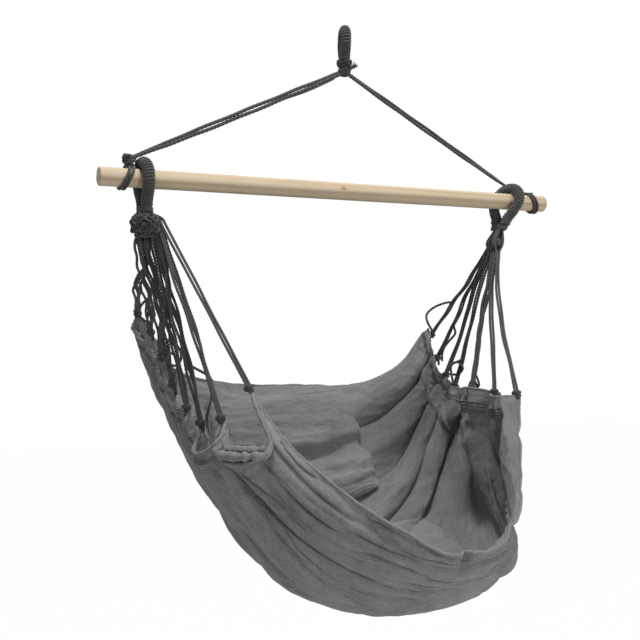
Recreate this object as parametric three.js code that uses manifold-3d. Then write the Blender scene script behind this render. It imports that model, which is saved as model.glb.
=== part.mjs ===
// Hammock chair: a cloth seat with two cushions, hung by two fans of cords from a wooden spreader bar.
// Millimetres, +Z up. The origin is where the hook bears, inside the top of the hanging loop.
// X runs along the bar, and +Y points to the back of the seat.

import * as THREE from 'three';
import Module from 'manifold-3d';
import { mergeVertices } from 'three/addons/utils/BufferGeometryUtils.js';

const wasm = await Module();
wasm.setup();

// Clearance between pieces that bear on each other
const gap = 0.3;

// Spreader bar
const bar_length = 1000;
const bar_diameter = 35;
const bar_chamfer = 3;
const bar_drop = 315; // from the hook down to the bar's axis
const bar_sides = 24;

// Served ropes: a rope core with a cord wound round it, bent into a teardrop
const leg_pull_share = 0.62; // how late the teardrop's legs draw in
const serving_thickness = 3.6;
const serving_width = 5;
const loop_core_diameter = 12;
const eye_core_diameter = 14;
const core_sides = 8;
const curl_steps = 8;
const curl_sides = 5;

// Outlines of turned pieces, as shares of the radius and of the height, from the foot up
const seizing_outline_shares = [[0.6, 0], [0.9, 0.2], [1, 0.5], [0.9, 0.8], [0.8, 1]];
const knot_outline_shares = [[0.7, 0], [1, 0.35], [0.85, 0.75], [0.4, 1]];
const tail_outline_shares = [[0.5, 0], [1, 0.7], [0.7, 1]];
const clew_outline_shares = [[0.96, 0], [1, 0.3], [0.9, 0.65], [0.66, 0.9], [0.4, 1]];

// Hanging loop, which takes the hook
const hook_radius = 12;
const loop_height = 51; // from the hook's bearing down to the loop's throat
const loop_turn_deg = 17; // the loop's plane is turned this far from the YZ plane
const loop_turns = 16;
const loop_core_steps = 22;

// Neck under the loop: a seizing, and the knot that the hanging ropes leave from
const neck_seizing_height = 10;
const neck_wall = 2.5; // how far the seizing stands out past the loop's two legs
const neck_knot_diameter = 24;
const rope_tail_length = 20;
const rope_tail_width = 13;
const rope_tail_rise_deg = 32;

// Hanging ropes and their hitches round the bar
const rope_diameter = 6;
const rope_sides = 8;
const left_hitch_inset = 50; // from the bar's end to the middle of the hitch
const right_hitch_inset = 34;
const hitch_turns = 2;
const hitch_pitch = 7.5;
const hitch_steps = 12;
const hitch_lean = 7; // how far the top of the hitch stands nearer the bar's middle than its axis
const hitch_knot_width = 22;
const hitch_knot_height = 21;
const left_hitch_knot_shift = 7; // from the middle of the hitch towards the bar's middle
const right_hitch_knot_shift = 6;
const rope_end_share = 0.6; // height on the hitch knot where the ropes meet it
const left_knot_back_deg = 0; // how far round the back of the bar the knot sits
const right_knot_back_deg = 58;

// Rope eyes that ride on the bar and carry the seat
const left_eye_inset = 82; // from the bar's end to the eye's crown
const right_eye_inset = 88;
const eye_depth = 52; // from the bar's axis down to the eye's throat
const eye_turns = 20;
const eye_core_steps = 26;
const eye_seizing_height = 10;
const eye_wall = 2;
const left_eye_lean = 7; // how far the eye's foot stands nearer the bar's middle than its crown
const right_eye_lean = 28;
const left_eye_turn_deg = 4; // the eye's plane is turned this far from square to the bar
const right_eye_turn_deg = 20;

// Woven clews under the eyes, from which the seat's cords fan out
const clew_height = 48;
const left_clew_width = 54; // along the bar
const left_clew_depth = 84;
const right_clew_width = 32;
const right_clew_depth = 48;
const clew_sides = 12;

// Suspension cords, each doubled and knotted at the hem
const cords_per_side = 8;
const cord_diameter = 5;
const left_cord_pitch = 10; // along the clew's foot
const right_cord_pitch = 5.7;
const left_leg_spacing = 20; // between the two legs of one cord, at the clew
const right_leg_spacing = 9;
const hem_leg_spacing = 6; // between them at the hem knot
const cord_sides = 6;
const hem_knot_diameter = 12;

// Hung cloth
const seat_half_length = 370;
const seat_half_depth = 390;
const seat_drop = 800; // from the bar's axis down to the lowest cloth
const cloth_thickness = 3;
const cloth_length_steps = 20;
const cloth_width_steps_per_fold = 4;
const left_fold_depth = 30;
const right_fold_depth = 34;
const fold_reach_share = 0.36; // how far the gathered folds run in from each end
const left_scallop = 34;
const right_scallop = 10;
const scallop_reach_share = 0.09;

// Net that the hung cloth follows: rows run from the back edge to the front edge, and columns from the
// left end to the right end. A point is [x, y, z], as shares of the half length, half depth and drop.
const cloth_net_shares = [
  [[-1.0, 0.53, -0.31], [-0.82, 0.55, -0.44], [-0.47, 0.6, -0.482], [0, 0.64, -0.497],
    [0.41, 0.63, -0.5], [0.73, 0.58, -0.45], [0.91, 0.53, -0.37]],
  [[-0.95, 0.36, -0.38], [-0.85, 0.41, -0.535], [-0.57, 0.385, -0.65], [0, 0.33, -0.705],
    [0.51, 0.36, -0.67], [0.8, 0.385, -0.57], [0.88, 0.36, -0.47]],
  [[-0.93, 0.17, -0.47], [-0.84, 0.18, -0.62], [-0.61, 0.08, -0.8], [0, -0.03, -0.915],
    [0.57, 0.03, -0.84], [0.83, 0.15, -0.66], [0.88, 0.17, -0.52]],
  [[-0.9, -0.05, -0.54], [-0.79, -0.13, -0.7], [-0.54, -0.31, -0.908], [0, -0.385, -0.997],
    [0.56, -0.31, -0.915], [0.82, -0.13, -0.745], [0.86, -0.05, -0.52]],
  [[-0.89, -0.33, -0.56], [-0.76, -0.49, -0.71], [-0.45, -0.69, -0.892], [0, -0.74, -0.955],
    [0.56, -0.68, -0.918], [0.76, -0.42, -0.775], [0.78, -0.31, -0.51]],
  [[-0.77, -0.51, -0.475], [-0.65, -0.68, -0.58], [-0.41, -0.85, -0.7], [-0.01, -1.0, -0.81],
    [0.38, -0.95, -0.81], [0.67, -0.74, -0.71], [0.74, -0.53, -0.51]],
];

// Depth of each gathered fold, from the back edge to the front edge, and how far its hem draws in
const left_fold_shares = [1.2, 0.9, 0.9, 1.0, 1.0, 1.2, 1.0];
const right_fold_shares = [1.1, 0.9, 1.0, 1.0, 0.8, 1.1, 0.9];
const left_scallop_shares = [1.0, 0.8, 0.8, 0.9, 1.0, 1.2, 2.4];

// Cushions: corners in the cloth's own length and width, from 0 to 1, back ones first and left ones first
const cushion_steps = 12;
const cushion_edge_thickness = 8;
const back_cushion = {
  crown: 50,
  clearance: 4, // from the cloth's middle surface to the cushion's underside
  corner_shares: [[0.29, 0.07], [0.61, 0.02], [0.32, 0.31], [0.6, 0.29]],
  waist_share: 0.06,
  crease_share: 0.3, // how much of the crown the slumped cushion's crease takes away
};
const seat_cushion = {
  crown: 44,
  clearance: 7,
  corner_shares: [[0.33, 0.37], [0.66, 0.38], [0.35, 0.73], [0.65, 0.73]],
  waist_share: -0.1,
  crease_share: 0,
};
const crease_place_share = 0.62; // down the cushion from its top edge
const crease_width_share = 0.09;

// Finishes
const pine = new THREE.MeshStandardMaterial({ color: 0xd8bf9b, roughness: 0.62, metalness: 0 });
const charcoal_cord = new THREE.MeshStandardMaterial({ color: 0x3b3d3e, roughness: 0.95, metalness: 0 });
const grey_cloth = new THREE.MeshStandardMaterial({ color: 0x5f6163, roughness: 0.95, metalness: 0 });
const grey_cushion = new THREE.MeshStandardMaterial({ color: 0x6c6e70, roughness: 0.92, metalness: 0 });

// Worked-out sizes
const bar_radius = bar_diameter / 2;
const loop_core_radius = loop_core_diameter / 2;
const eye_core_radius = eye_core_diameter / 2;
const rope_radius = rope_diameter / 2;
const cord_radius = cord_diameter / 2;
const curl_apothem = Math.cos(Math.PI / curl_steps);
const servingRadius = (core_radius) => (core_radius + gap + serving_thickness / 2) / curl_apothem;
const servedRadius = (core_radius) => servingRadius(core_radius) + serving_thickness / 2;
const serving_stub = serving_width / 2 + serving_thickness; // the serving's own straight end
const serving_end = serving_stub + gap; // straight length at each end of a served rope
const loop_outer_radius = servedRadius(loop_core_radius);
const eye_outer_radius = servedRadius(eye_core_radius);
const neck_knot_radius = neck_knot_diameter / 2;

const model = new THREE.Group();
model.name = 'hammock_chair';
const up = new THREE.Vector3(0, 0, 1);

function place(name, geometry, material, parent = model) {
  const mesh = new THREE.Mesh(geometry, material);
  mesh.name = name;
  parent.add(mesh);
  return mesh;
}

// A bare copy whose shared vertices are merged
function merged(geometry) {
  const bare = geometry.clone();
  bare.deleteAttribute('normal');
  bare.deleteAttribute('uv');
  return mergeVertices(bare);
}

function solid(geometry) {
  const mesh = merged(geometry);
  return new wasm.Manifold(new wasm.Mesh({
    numProp: 3,
    vertProperties: new Float32Array(mesh.attributes.position.array),
    triVerts: new Uint32Array(mesh.index.array),
  }));
}

function unpacked(piece) {
  const mesh = piece.getMesh();
  const positions = new Float32Array(mesh.vertProperties);
  const geometry = new THREE.BufferGeometry();
  geometry.setAttribute('position', new THREE.BufferAttribute(positions, mesh.numProp));
  geometry.setIndex(new THREE.BufferAttribute(new Uint32Array(mesh.triVerts), 1));
  return geometry;
}

function joined(geometries) {
  return unpacked(geometries.map(solid).reduce((whole, piece) => whole.add(piece)));
}

function trimmed(geometry, cutters) {
  return unpacked(cutters.map(solid).reduce((rest, cutter) => rest.subtract(cutter), solid(geometry)));
}

function polygon(radius, sides) {
  const points = [];
  for (let i = 0; i < sides; i++) {
    const angle = (2 * Math.PI * i) / sides;
    points.push(new THREE.Vector2(radius * Math.cos(angle), radius * Math.sin(angle)));
  }
  return new THREE.Shape(points);
}

function tube(path, radius, sides, steps) {
  const options = { steps, bevelEnabled: false, extrudePath: path };
  return new THREE.ExtrudeGeometry(polygon(radius, sides), options);
}

// Lathe about Z whose outline is shares of a radius and a height, flattened along X
function turned(outline_shares, radius, foot, height, sides, flattening = 1) {
  const at = ([across, rise]) => new THREE.Vector2(radius * across, foot + height * rise);
  const points = outline_shares.map(at);
  const closed = [at([0, 0]), ...points, at([0, 1])];
  const geometry = new THREE.LatheGeometry(closed, sides);
  geometry.rotateX(Math.PI / 2);
  geometry.scale(flattening, 1, 1);
  return geometry;
}

// Closed body from rings of points, each with as many points, and a fan over each end
function skinned(rings) {
  const sides = rings[0].length;
  const positions = rings.flat().flatMap((point) => [point.x, point.y, point.z]);
  const index = [];
  for (let i = 0; i + 1 < rings.length; i++) {
    for (let j = 0; j < sides; j++) {
      const a = i * sides + j;
      const b = i * sides + ((j + 1) % sides);
      index.push(a, b, b + sides, a, b + sides, a + sides);
    }
  }
  const last = (rings.length - 1) * sides;
  for (let j = 1; j + 1 < sides; j++) {
    index.push(0, j + 1, j);
    index.push(last, last + j, last + j + 1);
  }
  return outward(positions, index);
}

// Indexed geometry with its faces turned outwards
function outward(positions, index) {
  let volume = 0;
  const a = new THREE.Vector3();
  const b = new THREE.Vector3();
  const c = new THREE.Vector3();
  for (let i = 0; i < index.length; i += 3) {
    a.fromArray(positions, 3 * index[i]);
    b.fromArray(positions, 3 * index[i + 1]);
    c.fromArray(positions, 3 * index[i + 2]);
    volume += a.dot(b.cross(c));
  }
  const turned_index = volume < 0 ? index.slice().reverse() : index;
  const geometry = new THREE.BufferGeometry();
  geometry.setAttribute('position', new THREE.BufferAttribute(new Float32Array(positions), 3));
  geometry.setIndex(turned_index);
  return geometry;
}

// Teardrop in the YZ plane: an arc over the top, and two legs that draw in to a throat and end straight
function teardrop(radius, throat_half, depth, spread = 1) {
  const spring = Math.PI / 12; // the arc runs this far past its level diameter
  const at = (angle) => new THREE.Vector3(0, spread * radius * Math.cos(angle), radius * Math.sin(angle));
  const leg = (side) => {
    const start = at(-spring);
    const foot = new THREE.Vector3(0, throat_half, serving_end - depth);
    const pull = (start.z - foot.z) * leg_pull_share;
    return [
      start,
      new THREE.Vector3(0, start.y - pull * Math.sin(spring), start.z - pull * Math.cos(spring)),
      new THREE.Vector3(0, throat_half, start.z - pull),
      foot,
    ].map((point) => new THREE.Vector3(0, side * point.y, point.z));
  };
  const foot = (side) => new THREE.Vector3(0, side * throat_half, -depth);
  const arc = new (class extends THREE.Curve {
    getPoint(t, target = new THREE.Vector3()) {
      return target.copy(at(Math.PI + spring - t * (Math.PI + 2 * spring)));
    }
  })();
  const path = new THREE.CurvePath();
  path.add(new THREE.LineCurve3(foot(-1), leg(-1)[3]));
  path.add(new THREE.CubicBezierCurve3(...leg(-1).reverse()));
  path.add(arc);
  path.add(new THREE.CubicBezierCurve3(...leg(1)));
  path.add(new THREE.LineCurve3(leg(1)[3], foot(1)));
  return path;
}

// Cord wound round a teardrop's rope. Its ends run straight along the rope, for one thickness.
function serving(path, core_radius, turns) {
  const radius = servingRadius(core_radius);
  const across = new THREE.Vector3(1, 0, 0);
  const length = path.getLength();
  const margin = serving_end / length;
  const points = [];
  const radials = [];
  const tangents = [];
  const count = turns * curl_steps;
  for (let i = 0; i <= count; i++) {
    const u = margin + (1 - 2 * margin) * (i / count);
    const tangent = path.getTangentAt(u);
    const normal = new THREE.Vector3().crossVectors(across, tangent);
    const angle = (2 * Math.PI * i) / curl_steps;
    const radial = normal.multiplyScalar(Math.cos(angle)).addScaledVector(across, Math.sin(angle));
    points.push(path.getPointAt(u).addScaledVector(radial, radius));
    radials.push(radial);
    tangents.push(tangent);
  }
  const head = points[0].clone().addScaledVector(tangents[0], -serving_stub);
  const foot = points[count].clone().addScaledVector(tangents[count], serving_stub);
  const route = [head, ...points, foot];
  const outs = [radials[0], ...radials, radials[count]];
  const rings = route.map((point, i) => {
    const before = route[Math.max(i - 1, 0)];
    const after = route[Math.min(i + 1, route.length - 1)];
    const along = new THREE.Vector3().subVectors(after, before).normalize();
    const wide = new THREE.Vector3().crossVectors(along, outs[i]).normalize();
    const out = new THREE.Vector3().crossVectors(wide, along);
    const ring = [];
    for (let j = 0; j < curl_sides; j++) {
      const angle = (2 * Math.PI * j) / curl_sides;
      ring.push(point.clone()
        .addScaledVector(out, (serving_thickness / 2) * Math.cos(angle))
        .addScaledVector(wide, (serving_width / 2) * Math.sin(angle)));
    }
    return ring;
  });
  report(`winding of ${turns} turns`, rings, curl_steps);
  return skinned(rings);
}

// Least distance between points of a winding's neighbouring turns
function report(name, rings, steps) {
  let least = Infinity;
  for (let i = 0; i < rings.length; i++) {
    for (let k = i + steps - 2; k < Math.min(i + steps + 3, rings.length); k++) {
      for (const p of rings[i]) {
        for (const q of rings[k]) {
          least = Math.min(least, p.distanceTo(q));
        }
      }
    }
  }
  console.log(`${name}: least gap to itself ${least.toFixed(2)} mm`);
}

// Moves each point along X in proportion to how far it lies below a height
function lean(geometry, top, depth, shift) {
  const position = geometry.attributes.position;
  for (let i = 0; i < position.count; i++) {
    position.setX(i, position.getX(i) + (shift * (top - position.getZ(i))) / depth);
  }
  return geometry;
}

// Hanging loop, with its neck
{
  const crown = hook_radius + loop_outer_radius;
  const throat_half = loop_outer_radius + gap;
  const depth = loop_height - hook_radius;
  const loop = new THREE.Group();
  loop.position.z = -hook_radius;
  loop.rotation.z = THREE.MathUtils.degToRad(-loop_turn_deg);
  model.add(loop);
  const path = teardrop(crown, throat_half, depth);
  const core = tube(path, loop_core_radius, core_sides, loop_core_steps);
  place('hanging_loop_core', core, charcoal_cord, loop);
  place('hanging_loop_whipping', serving(path, loop_core_radius, loop_turns), charcoal_cord, loop);

  const wide = throat_half + loop_outer_radius + neck_wall;
  const thick = loop_outer_radius + neck_wall;
  const foot = -depth - gap - neck_seizing_height;
  const binding = turned(seizing_outline_shares, wide, foot, neck_seizing_height, bar_sides, thick / wide);
  place('neck_seizing', binding, charcoal_cord, loop);
}
const neck_foot_z = -loop_height - gap - neck_seizing_height;
const neck_z = neck_foot_z - gap - neck_knot_radius; // the knot's middle, where the ropes flex

{
  const knot = place('neck_knot', new THREE.SphereGeometry(neck_knot_radius, bar_sides / 2, bar_sides / 3),
    charcoal_cord);
  knot.rotation.x = Math.PI / 2;
  knot.position.z = neck_z;
  const cut_end = turned(tail_outline_shares, rope_tail_width / 2, neck_knot_radius + gap, rope_tail_length,
    rope_sides);
  const tail = place('neck_rope_tail', cut_end, charcoal_cord);
  tail.position.z = neck_z;
  tail.rotation.y = THREE.MathUtils.degToRad(90 - rope_tail_rise_deg);
}

// Spreader bar
{
  const flat = (bar_radius - bar_chamfer) / bar_radius;
  const chamfer = bar_chamfer / bar_length;
  const outline_shares = [[flat, 0], [1, chamfer], [1, 1 - chamfer], [flat, 1]];
  const dowel = turned(outline_shares, bar_radius, -bar_length / 2, bar_length, bar_sides);
  const bar = place('spreader_bar', dowel, pine);
  bar.rotation.y = Math.PI / 2;
  bar.position.z = -bar_drop;
}

// Hitches round the bar, their knots, and the two ropes a side up to the neck
const hitches = [
  ['left', -1, left_hitch_inset, left_hitch_knot_shift, left_knot_back_deg],
  ['right', 1, right_hitch_inset, right_hitch_knot_shift, right_knot_back_deg],
];
for (const [side, sign, inset, knot_shift, knot_back_deg] of hitches) {
  const hitch = new THREE.Group();
  hitch.position.set(sign * (bar_length / 2 - inset), 0, -bar_drop);
  model.add(hitch);
  const radius = (bar_radius + gap + rope_radius) / Math.cos(Math.PI / hitch_steps);
  const count = hitch_turns * hitch_steps;
  const rings = [];
  for (let i = -1; i <= count + 1; i++) {
    const step = Math.min(Math.max(i, 0), count);
    const angle = Math.PI / 2 + (sign * 2 * Math.PI * step) / hitch_steps;
    const out = new THREE.Vector3(0, Math.cos(angle), Math.sin(angle));
    const middle = out.clone().multiplyScalar(radius);
    middle.x = hitch_pitch * hitch_turns * (step / count - 1 / 2) - (sign * hitch_lean * middle.z) / radius;
    middle.y += sign * (step - i) * rope_diameter; // the ends run straight for one diameter
    const ring = [];
    for (let j = 0; j < cord_sides; j++) {
      const turn = (2 * Math.PI * j) / cord_sides;
      ring.push(middle.clone().addScaledVector(out, rope_radius * Math.cos(turn))
        .add(new THREE.Vector3(rope_radius * Math.sin(turn), 0, 0)));
    }
    rings.push(ring);
  }
  report(`${side} hitch`, rings, hitch_steps);
  place(`${side}_bar_hitch`, skinned(rings), charcoal_cord, hitch);

  const seat = radius + rope_radius + gap;
  const half = hitch_knot_width / 2;
  const body = turned(knot_outline_shares, half, seat, hitch_knot_height, bar_sides / 2);
  const knot = place(`${side}_hitch_knot`, body, charcoal_cord, hitch);
  const back = THREE.MathUtils.degToRad(knot_back_deg);
  knot.position.x = -sign * knot_shift;
  knot.rotation.x = -back;

  // The ropes stop short of the knots by the gap
  const neck = new THREE.Vector3(0, 0, neck_z);
  const neck_room = new THREE.SphereGeometry(neck_knot_radius + gap, bar_sides, bar_sides / 2)
    .translate(...neck.toArray());
  const room_height = hitch_knot_height + 2 * gap;
  const knot_room = turned(knot_outline_shares, half + gap, seat - gap, room_height, bar_sides / 2)
    .rotateX(-back)
    .translate(knot.position.x, 0, 0)
    .translate(...hitch.position.toArray());
  const reach = seat + hitch_knot_height * rope_end_share;
  const end = new THREE.Vector3(knot.position.x, reach * Math.sin(back), reach * Math.cos(back))
    .add(hitch.position);
  for (const [strand, offset] of [['front', -1], ['back', 1]]) {
    const aside = new THREE.Vector3(0, offset * (rope_radius + gap / 2), 0);
    const path = new THREE.LineCurve3(neck.clone().add(aside), end.clone().add(aside));
    const rope = trimmed(tube(path, rope_radius, rope_sides, 1), [neck_room, knot_room]);
    place(`${side}_hanging_rope_${strand}`, rope, charcoal_cord);
  }
}

// Eyes on the bar, their seizings and the clews
const eye_crown_radius = bar_radius + gap + eye_outer_radius;
const eye_throat_half = eye_outer_radius + gap;
const clew_top = -eye_depth - gap - eye_seizing_height - gap;
const clew_foot = clew_top - clew_height;
const eyes = [
  ['left', -1, left_eye_inset, left_eye_lean, left_eye_turn_deg, left_clew_width, left_clew_depth],
  ['right', 1, right_eye_inset, right_eye_lean, right_eye_turn_deg, right_clew_width, right_clew_depth],
];
const clew_feet = {};
for (const [side, sign, inset, foot_shift, turn_deg, clew_width, clew_depth] of eyes) {
  const eye_x = bar_length / 2 - inset;
  const eye = new THREE.Group();
  eye.position.set(sign * eye_x, 0, -bar_drop);
  model.add(eye);
  const turn = THREE.MathUtils.degToRad(turn_deg);
  const path = teardrop(eye_crown_radius, eye_throat_half, eye_depth, 1 / Math.cos(turn));
  const whole = eye_depth + eye_crown_radius;
  const shift = -sign * foot_shift;
  const leaning = (geometry) => lean(merged(geometry).rotateZ(turn), eye_crown_radius, whole, shift);
  const core = tube(path, eye_core_radius, core_sides, eye_core_steps);
  place(`${side}_eye_core`, leaning(core), charcoal_cord, eye);
  place(`${side}_eye_whipping`, leaning(serving(path, eye_core_radius, eye_turns)), charcoal_cord, eye);

  const wide = eye_throat_half + eye_outer_radius + eye_wall;
  const thick = eye_outer_radius + eye_wall;
  const foot = clew_top + gap;
  const binding = turned(seizing_outline_shares, wide, foot, eye_seizing_height, bar_sides, thick / wide);
  place(`${side}_eye_seizing`, leaning(binding), charcoal_cord, eye);
  const flattening = clew_width / clew_depth;
  const woven = turned(clew_outline_shares, clew_depth / 2, clew_foot, clew_height, clew_sides, flattening);
  place(`${side}_clew`, leaning(woven), charcoal_cord, eye);
  const clew_shift = (shift * (eye_crown_radius - clew_foot)) / whole;
  clew_feet[side] = new THREE.Vector3(sign * eye_x + clew_shift, 0, clew_foot - bar_drop);
}

// Smooth curve through evenly spaced points
function spline(points, u) {
  const last = points.length - 1;
  const x = Math.min(Math.max(u, 0), 1) * last;
  const i = Math.min(Math.floor(x), last - 1);
  const f = x - i;
  const p1 = points[i];
  const p2 = points[i + 1];
  const p0 = points[i - 1] ?? p1.clone().multiplyScalar(2).sub(p2);
  const p3 = points[i + 2] ?? p2.clone().multiplyScalar(2).sub(p1);
  const mix = (k) => 0.5 * (2 * p1[k] + (p2[k] - p0[k]) * f
    + (2 * p0[k] - 5 * p1[k] + 4 * p2[k] - p3[k]) * f * f
    + (3 * p1[k] - p0[k] - 3 * p2[k] + p3[k]) * f * f * f);
  return new THREE.Vector3(mix('x'), mix('y'), mix('z'));
}

const cloth_net = cloth_net_shares.map((row) => row.map(([x, y, z]) => new THREE.Vector3(
  x * seat_half_length, y * seat_half_depth, z * seat_drop - bar_drop)));

// Smooth bowl of the seat, s from the left end to the right end, t from the back edge to the front edge
function bowl(s, t) {
  return spline(cloth_net.map((row) => spline(row, s)), t);
}

const probe = 1e-3;
function bowlLengthwise(s, t) {
  return bowl(Math.min(s + probe, 1), t).sub(bowl(Math.max(s - probe, 0), t)).normalize();
}

// Unit direction out of the bowl
function bowlOut(s, t) {
  const widthwise = bowl(s, Math.min(t + probe, 1)).sub(bowl(s, Math.max(t - probe, 0)));
  return new THREE.Vector3().crossVectors(bowlLengthwise(s, t), widthwise).normalize();
}

// Cloth's middle surface: the bowl with its gathered folds and scalloped ends
const folds = cords_per_side - 1;
function cloth(s, t) {
  const x = Math.min(t, 1 - 1e-9) * folds;
  const fold = Math.floor(x);
  const swell = Math.sin(Math.PI * (x - fold));
  const fade = (from_end) => Math.max(0, 1 - (from_end / fold_reach_share) ** 2) ** 2;
  const edge = (from_end) => Math.exp(-((from_end / scallop_reach_share) ** 2));
  const depth = left_fold_depth * left_fold_shares[fold] * fade(s)
    - right_fold_depth * right_fold_shares[fold] * fade(1 - s);
  const inwards = left_scallop * left_scallop_shares[fold] * edge(s) - right_scallop * edge(1 - s);
  return bowl(s, t)
    .addScaledVector(bowlOut(s, t), depth * swell)
    .addScaledVector(bowlLengthwise(s, t), inwards * swell);
}

// Closed sheet between two faces of points, each face a table of rows
function sheet(upper, lower) {
  const rows = upper.length;
  const columns = upper[0].length;
  const positions = [...upper.flat(), ...lower.flat()].flatMap((point) => [point.x, point.y, point.z]);
  const under = rows * columns;
  const index = [];
  for (let i = 0; i + 1 < rows; i++) {
    for (let j = 0; j + 1 < columns; j++) {
      const a = i * columns + j;
      const b = a + columns;
      index.push(a, b, b + 1, a, b + 1, a + 1);
      index.push(under + a, under + b + 1, under + b, under + a, under + a + 1, under + b + 1);
    }
  }
  const rim = [];
  for (let j = 0; j < columns - 1; j++) rim.push(j);
  for (let i = 0; i < rows - 1; i++) rim.push(i * columns + columns - 1);
  for (let j = columns - 1; j > 0; j--) rim.push((rows - 1) * columns + j);
  for (let i = rows - 1; i > 0; i--) rim.push(i * columns);
  rim.forEach((a, i) => {
    const b = rim[(i + 1) % rim.length];
    index.push(a, b, under + b, a, under + b, under + a);
  });
  return outward(positions, index);
}

// Points of a surface moved along the normal of its own grid
function offset(grid, distance) {
  const rows = grid.length;
  const columns = grid[0].length;
  return grid.map((row, i) => row.map((point, j) => {
    const lengthwise = grid[Math.min(i + 1, rows - 1)][j].clone().sub(grid[Math.max(i - 1, 0)][j]);
    const widthwise = row[Math.min(j + 1, columns - 1)].clone().sub(row[Math.max(j - 1, 0)]);
    const normal = lengthwise.cross(widthwise).normalize();
    return point.clone().addScaledVector(normal, distance);
  }));
}

// Hung cloth, with its steps closer together in the gathered ends
const cloth_grid = [];
for (let i = 0; i <= cloth_length_steps; i++) {
  const even = i / cloth_length_steps;
  const s = even - Math.sin(2 * Math.PI * even) / (4 * Math.PI);
  const row = [];
  for (let j = 0; j <= folds * cloth_width_steps_per_fold; j++) {
    row.push(cloth(s, j / (folds * cloth_width_steps_per_fold)));
  }
  cloth_grid.push(row);
}
const cloth_faces = [1, -1].map((face) => offset(cloth_grid, (face * cloth_thickness) / 2));
place('seat_cloth', sheet(...cloth_faces), grey_cloth);

// Round strand through points, mitred at each
function strand(points, radius, sides) {
  const across = new THREE.Vector3(1, 0, 0);
  const last = points.length - 1;
  const rings = points.map((point, i) => {
    const before = point.clone().sub(points[Math.max(i - 1, 0)]).normalize();
    const after = points[Math.min(i + 1, last)].clone().sub(point).normalize();
    const along = before.add(after).normalize();
    const wide = across.clone().addScaledVector(along, -along.dot(across)).normalize();
    const deep = new THREE.Vector3().crossVectors(along, wide);
    const ring = [];
    for (let j = 0; j < sides; j++) {
      const angle = (2 * Math.PI * j) / sides;
      ring.push(point.clone()
        .addScaledVector(wide, radius * Math.cos(angle))
        .addScaledVector(deep, radius * Math.sin(angle)));
    }
    return ring;
  });
  return skinned(rings);
}

// Cords: two legs from the clew's foot to a knot at the hem
const fans = [
  ['left', 0, left_cord_pitch, left_leg_spacing],
  ['right', 1, right_cord_pitch, right_leg_spacing],
];
for (const [side, end, pitch, spread] of fans) {
  for (let k = 0; k < cords_per_side; k++) {
    const hem = end * cloth_length_steps;
    const column = k * cloth_width_steps_per_fold;
    const point = cloth_grid[hem][column];
    const row = ((cords_per_side - 1) / 2 - k) * pitch;
    const top = clew_feet[side].clone().add(new THREE.Vector3(0, row, -gap));
    const rise = top.clone().sub(point).normalize();
    const room = hem_knot_diameter / 2 + gap;
    const stand_offs = cloth_faces.map((face) => {
      const corner = face[hem][column].clone().sub(point);
      const along = corner.dot(rise);
      return along + Math.sqrt(room ** 2 - corner.lengthSq() + along ** 2);
    });
    const knot = point.clone().addScaledVector(rise, Math.max(...stand_offs));
    const pieces = [new THREE.SphereGeometry(hem_knot_diameter / 2, core_sides, cord_sides)
      .rotateX(Math.PI / 2).translate(knot.x, knot.y, knot.z)];
    for (const leg of [-1, 1]) {
      const from = top.clone().add(new THREE.Vector3((leg * spread) / 2, 0, 0));
      const to = knot.clone().add(new THREE.Vector3((leg * hem_leg_spacing) / 2, 0, 0));
      const bend = from.clone().addScaledVector(up, -cord_diameter);
      pieces.push(strand([from, bend, to], cord_radius, cord_sides));
    }
    place(`${side}_cord_${k + 1}`, joined(pieces), charcoal_cord);
  }
}

// Cushions: a crowned form on the cloth, whose sides draw in between its corners
for (const [name, size] of Object.entries({ back_cushion, seat_cushion })) {
  const corners = size.corner_shares.map((pair) => new THREE.Vector2(...pair));
  const [back_left, back_right, front_left, front_right] = corners;
  const upper = [];
  const lower = [];
  for (let i = 0; i <= cushion_steps; i++) {
    const high = [];
    const low = [];
    for (let j = 0; j <= cushion_steps; j++) {
      const u = Math.sin(Math.PI * (i / cushion_steps - 1 / 2));
      const v = Math.sin(Math.PI * (j / cushion_steps - 1 / 2));
      const across = (1 + u * (1 - size.waist_share * (1 - v * v))) / 2;
      const down = (1 + v * (1 - size.waist_share * (1 - u * u))) / 2;
      const place_on_cloth = back_left.clone().lerp(back_right, across)
        .lerp(front_left.clone().lerp(front_right, across), down);
      const [s, t] = place_on_cloth.toArray();
      const foot = cloth(s, t);
      const inwards = bowlOut(s, t).negate();
      const past = (down - crease_place_share) / crease_width_share;
      const crease = size.crease_share * Math.exp(-(past ** 2));
      const swell = Math.sqrt((1 - u ** 2) * (1 - v ** 2)) * (1 - crease);
      low.push(foot.clone().addScaledVector(inwards, size.clearance));
      high.push(foot.clone().addScaledVector(inwards,
        size.clearance + cushion_edge_thickness + (size.crown - cushion_edge_thickness) * swell));
    }
    upper.push(high);
    lower.push(low);
  }
  place(name, sheet(upper, lower), grey_cushion);
}

export default model;
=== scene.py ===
"""Hammock chair: a grey cloth seat gathered at both ends, hung by cords from a wooden spreader bar."""
import math

import bpy
import numpy as np
from mathutils import Matrix, Vector


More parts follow.
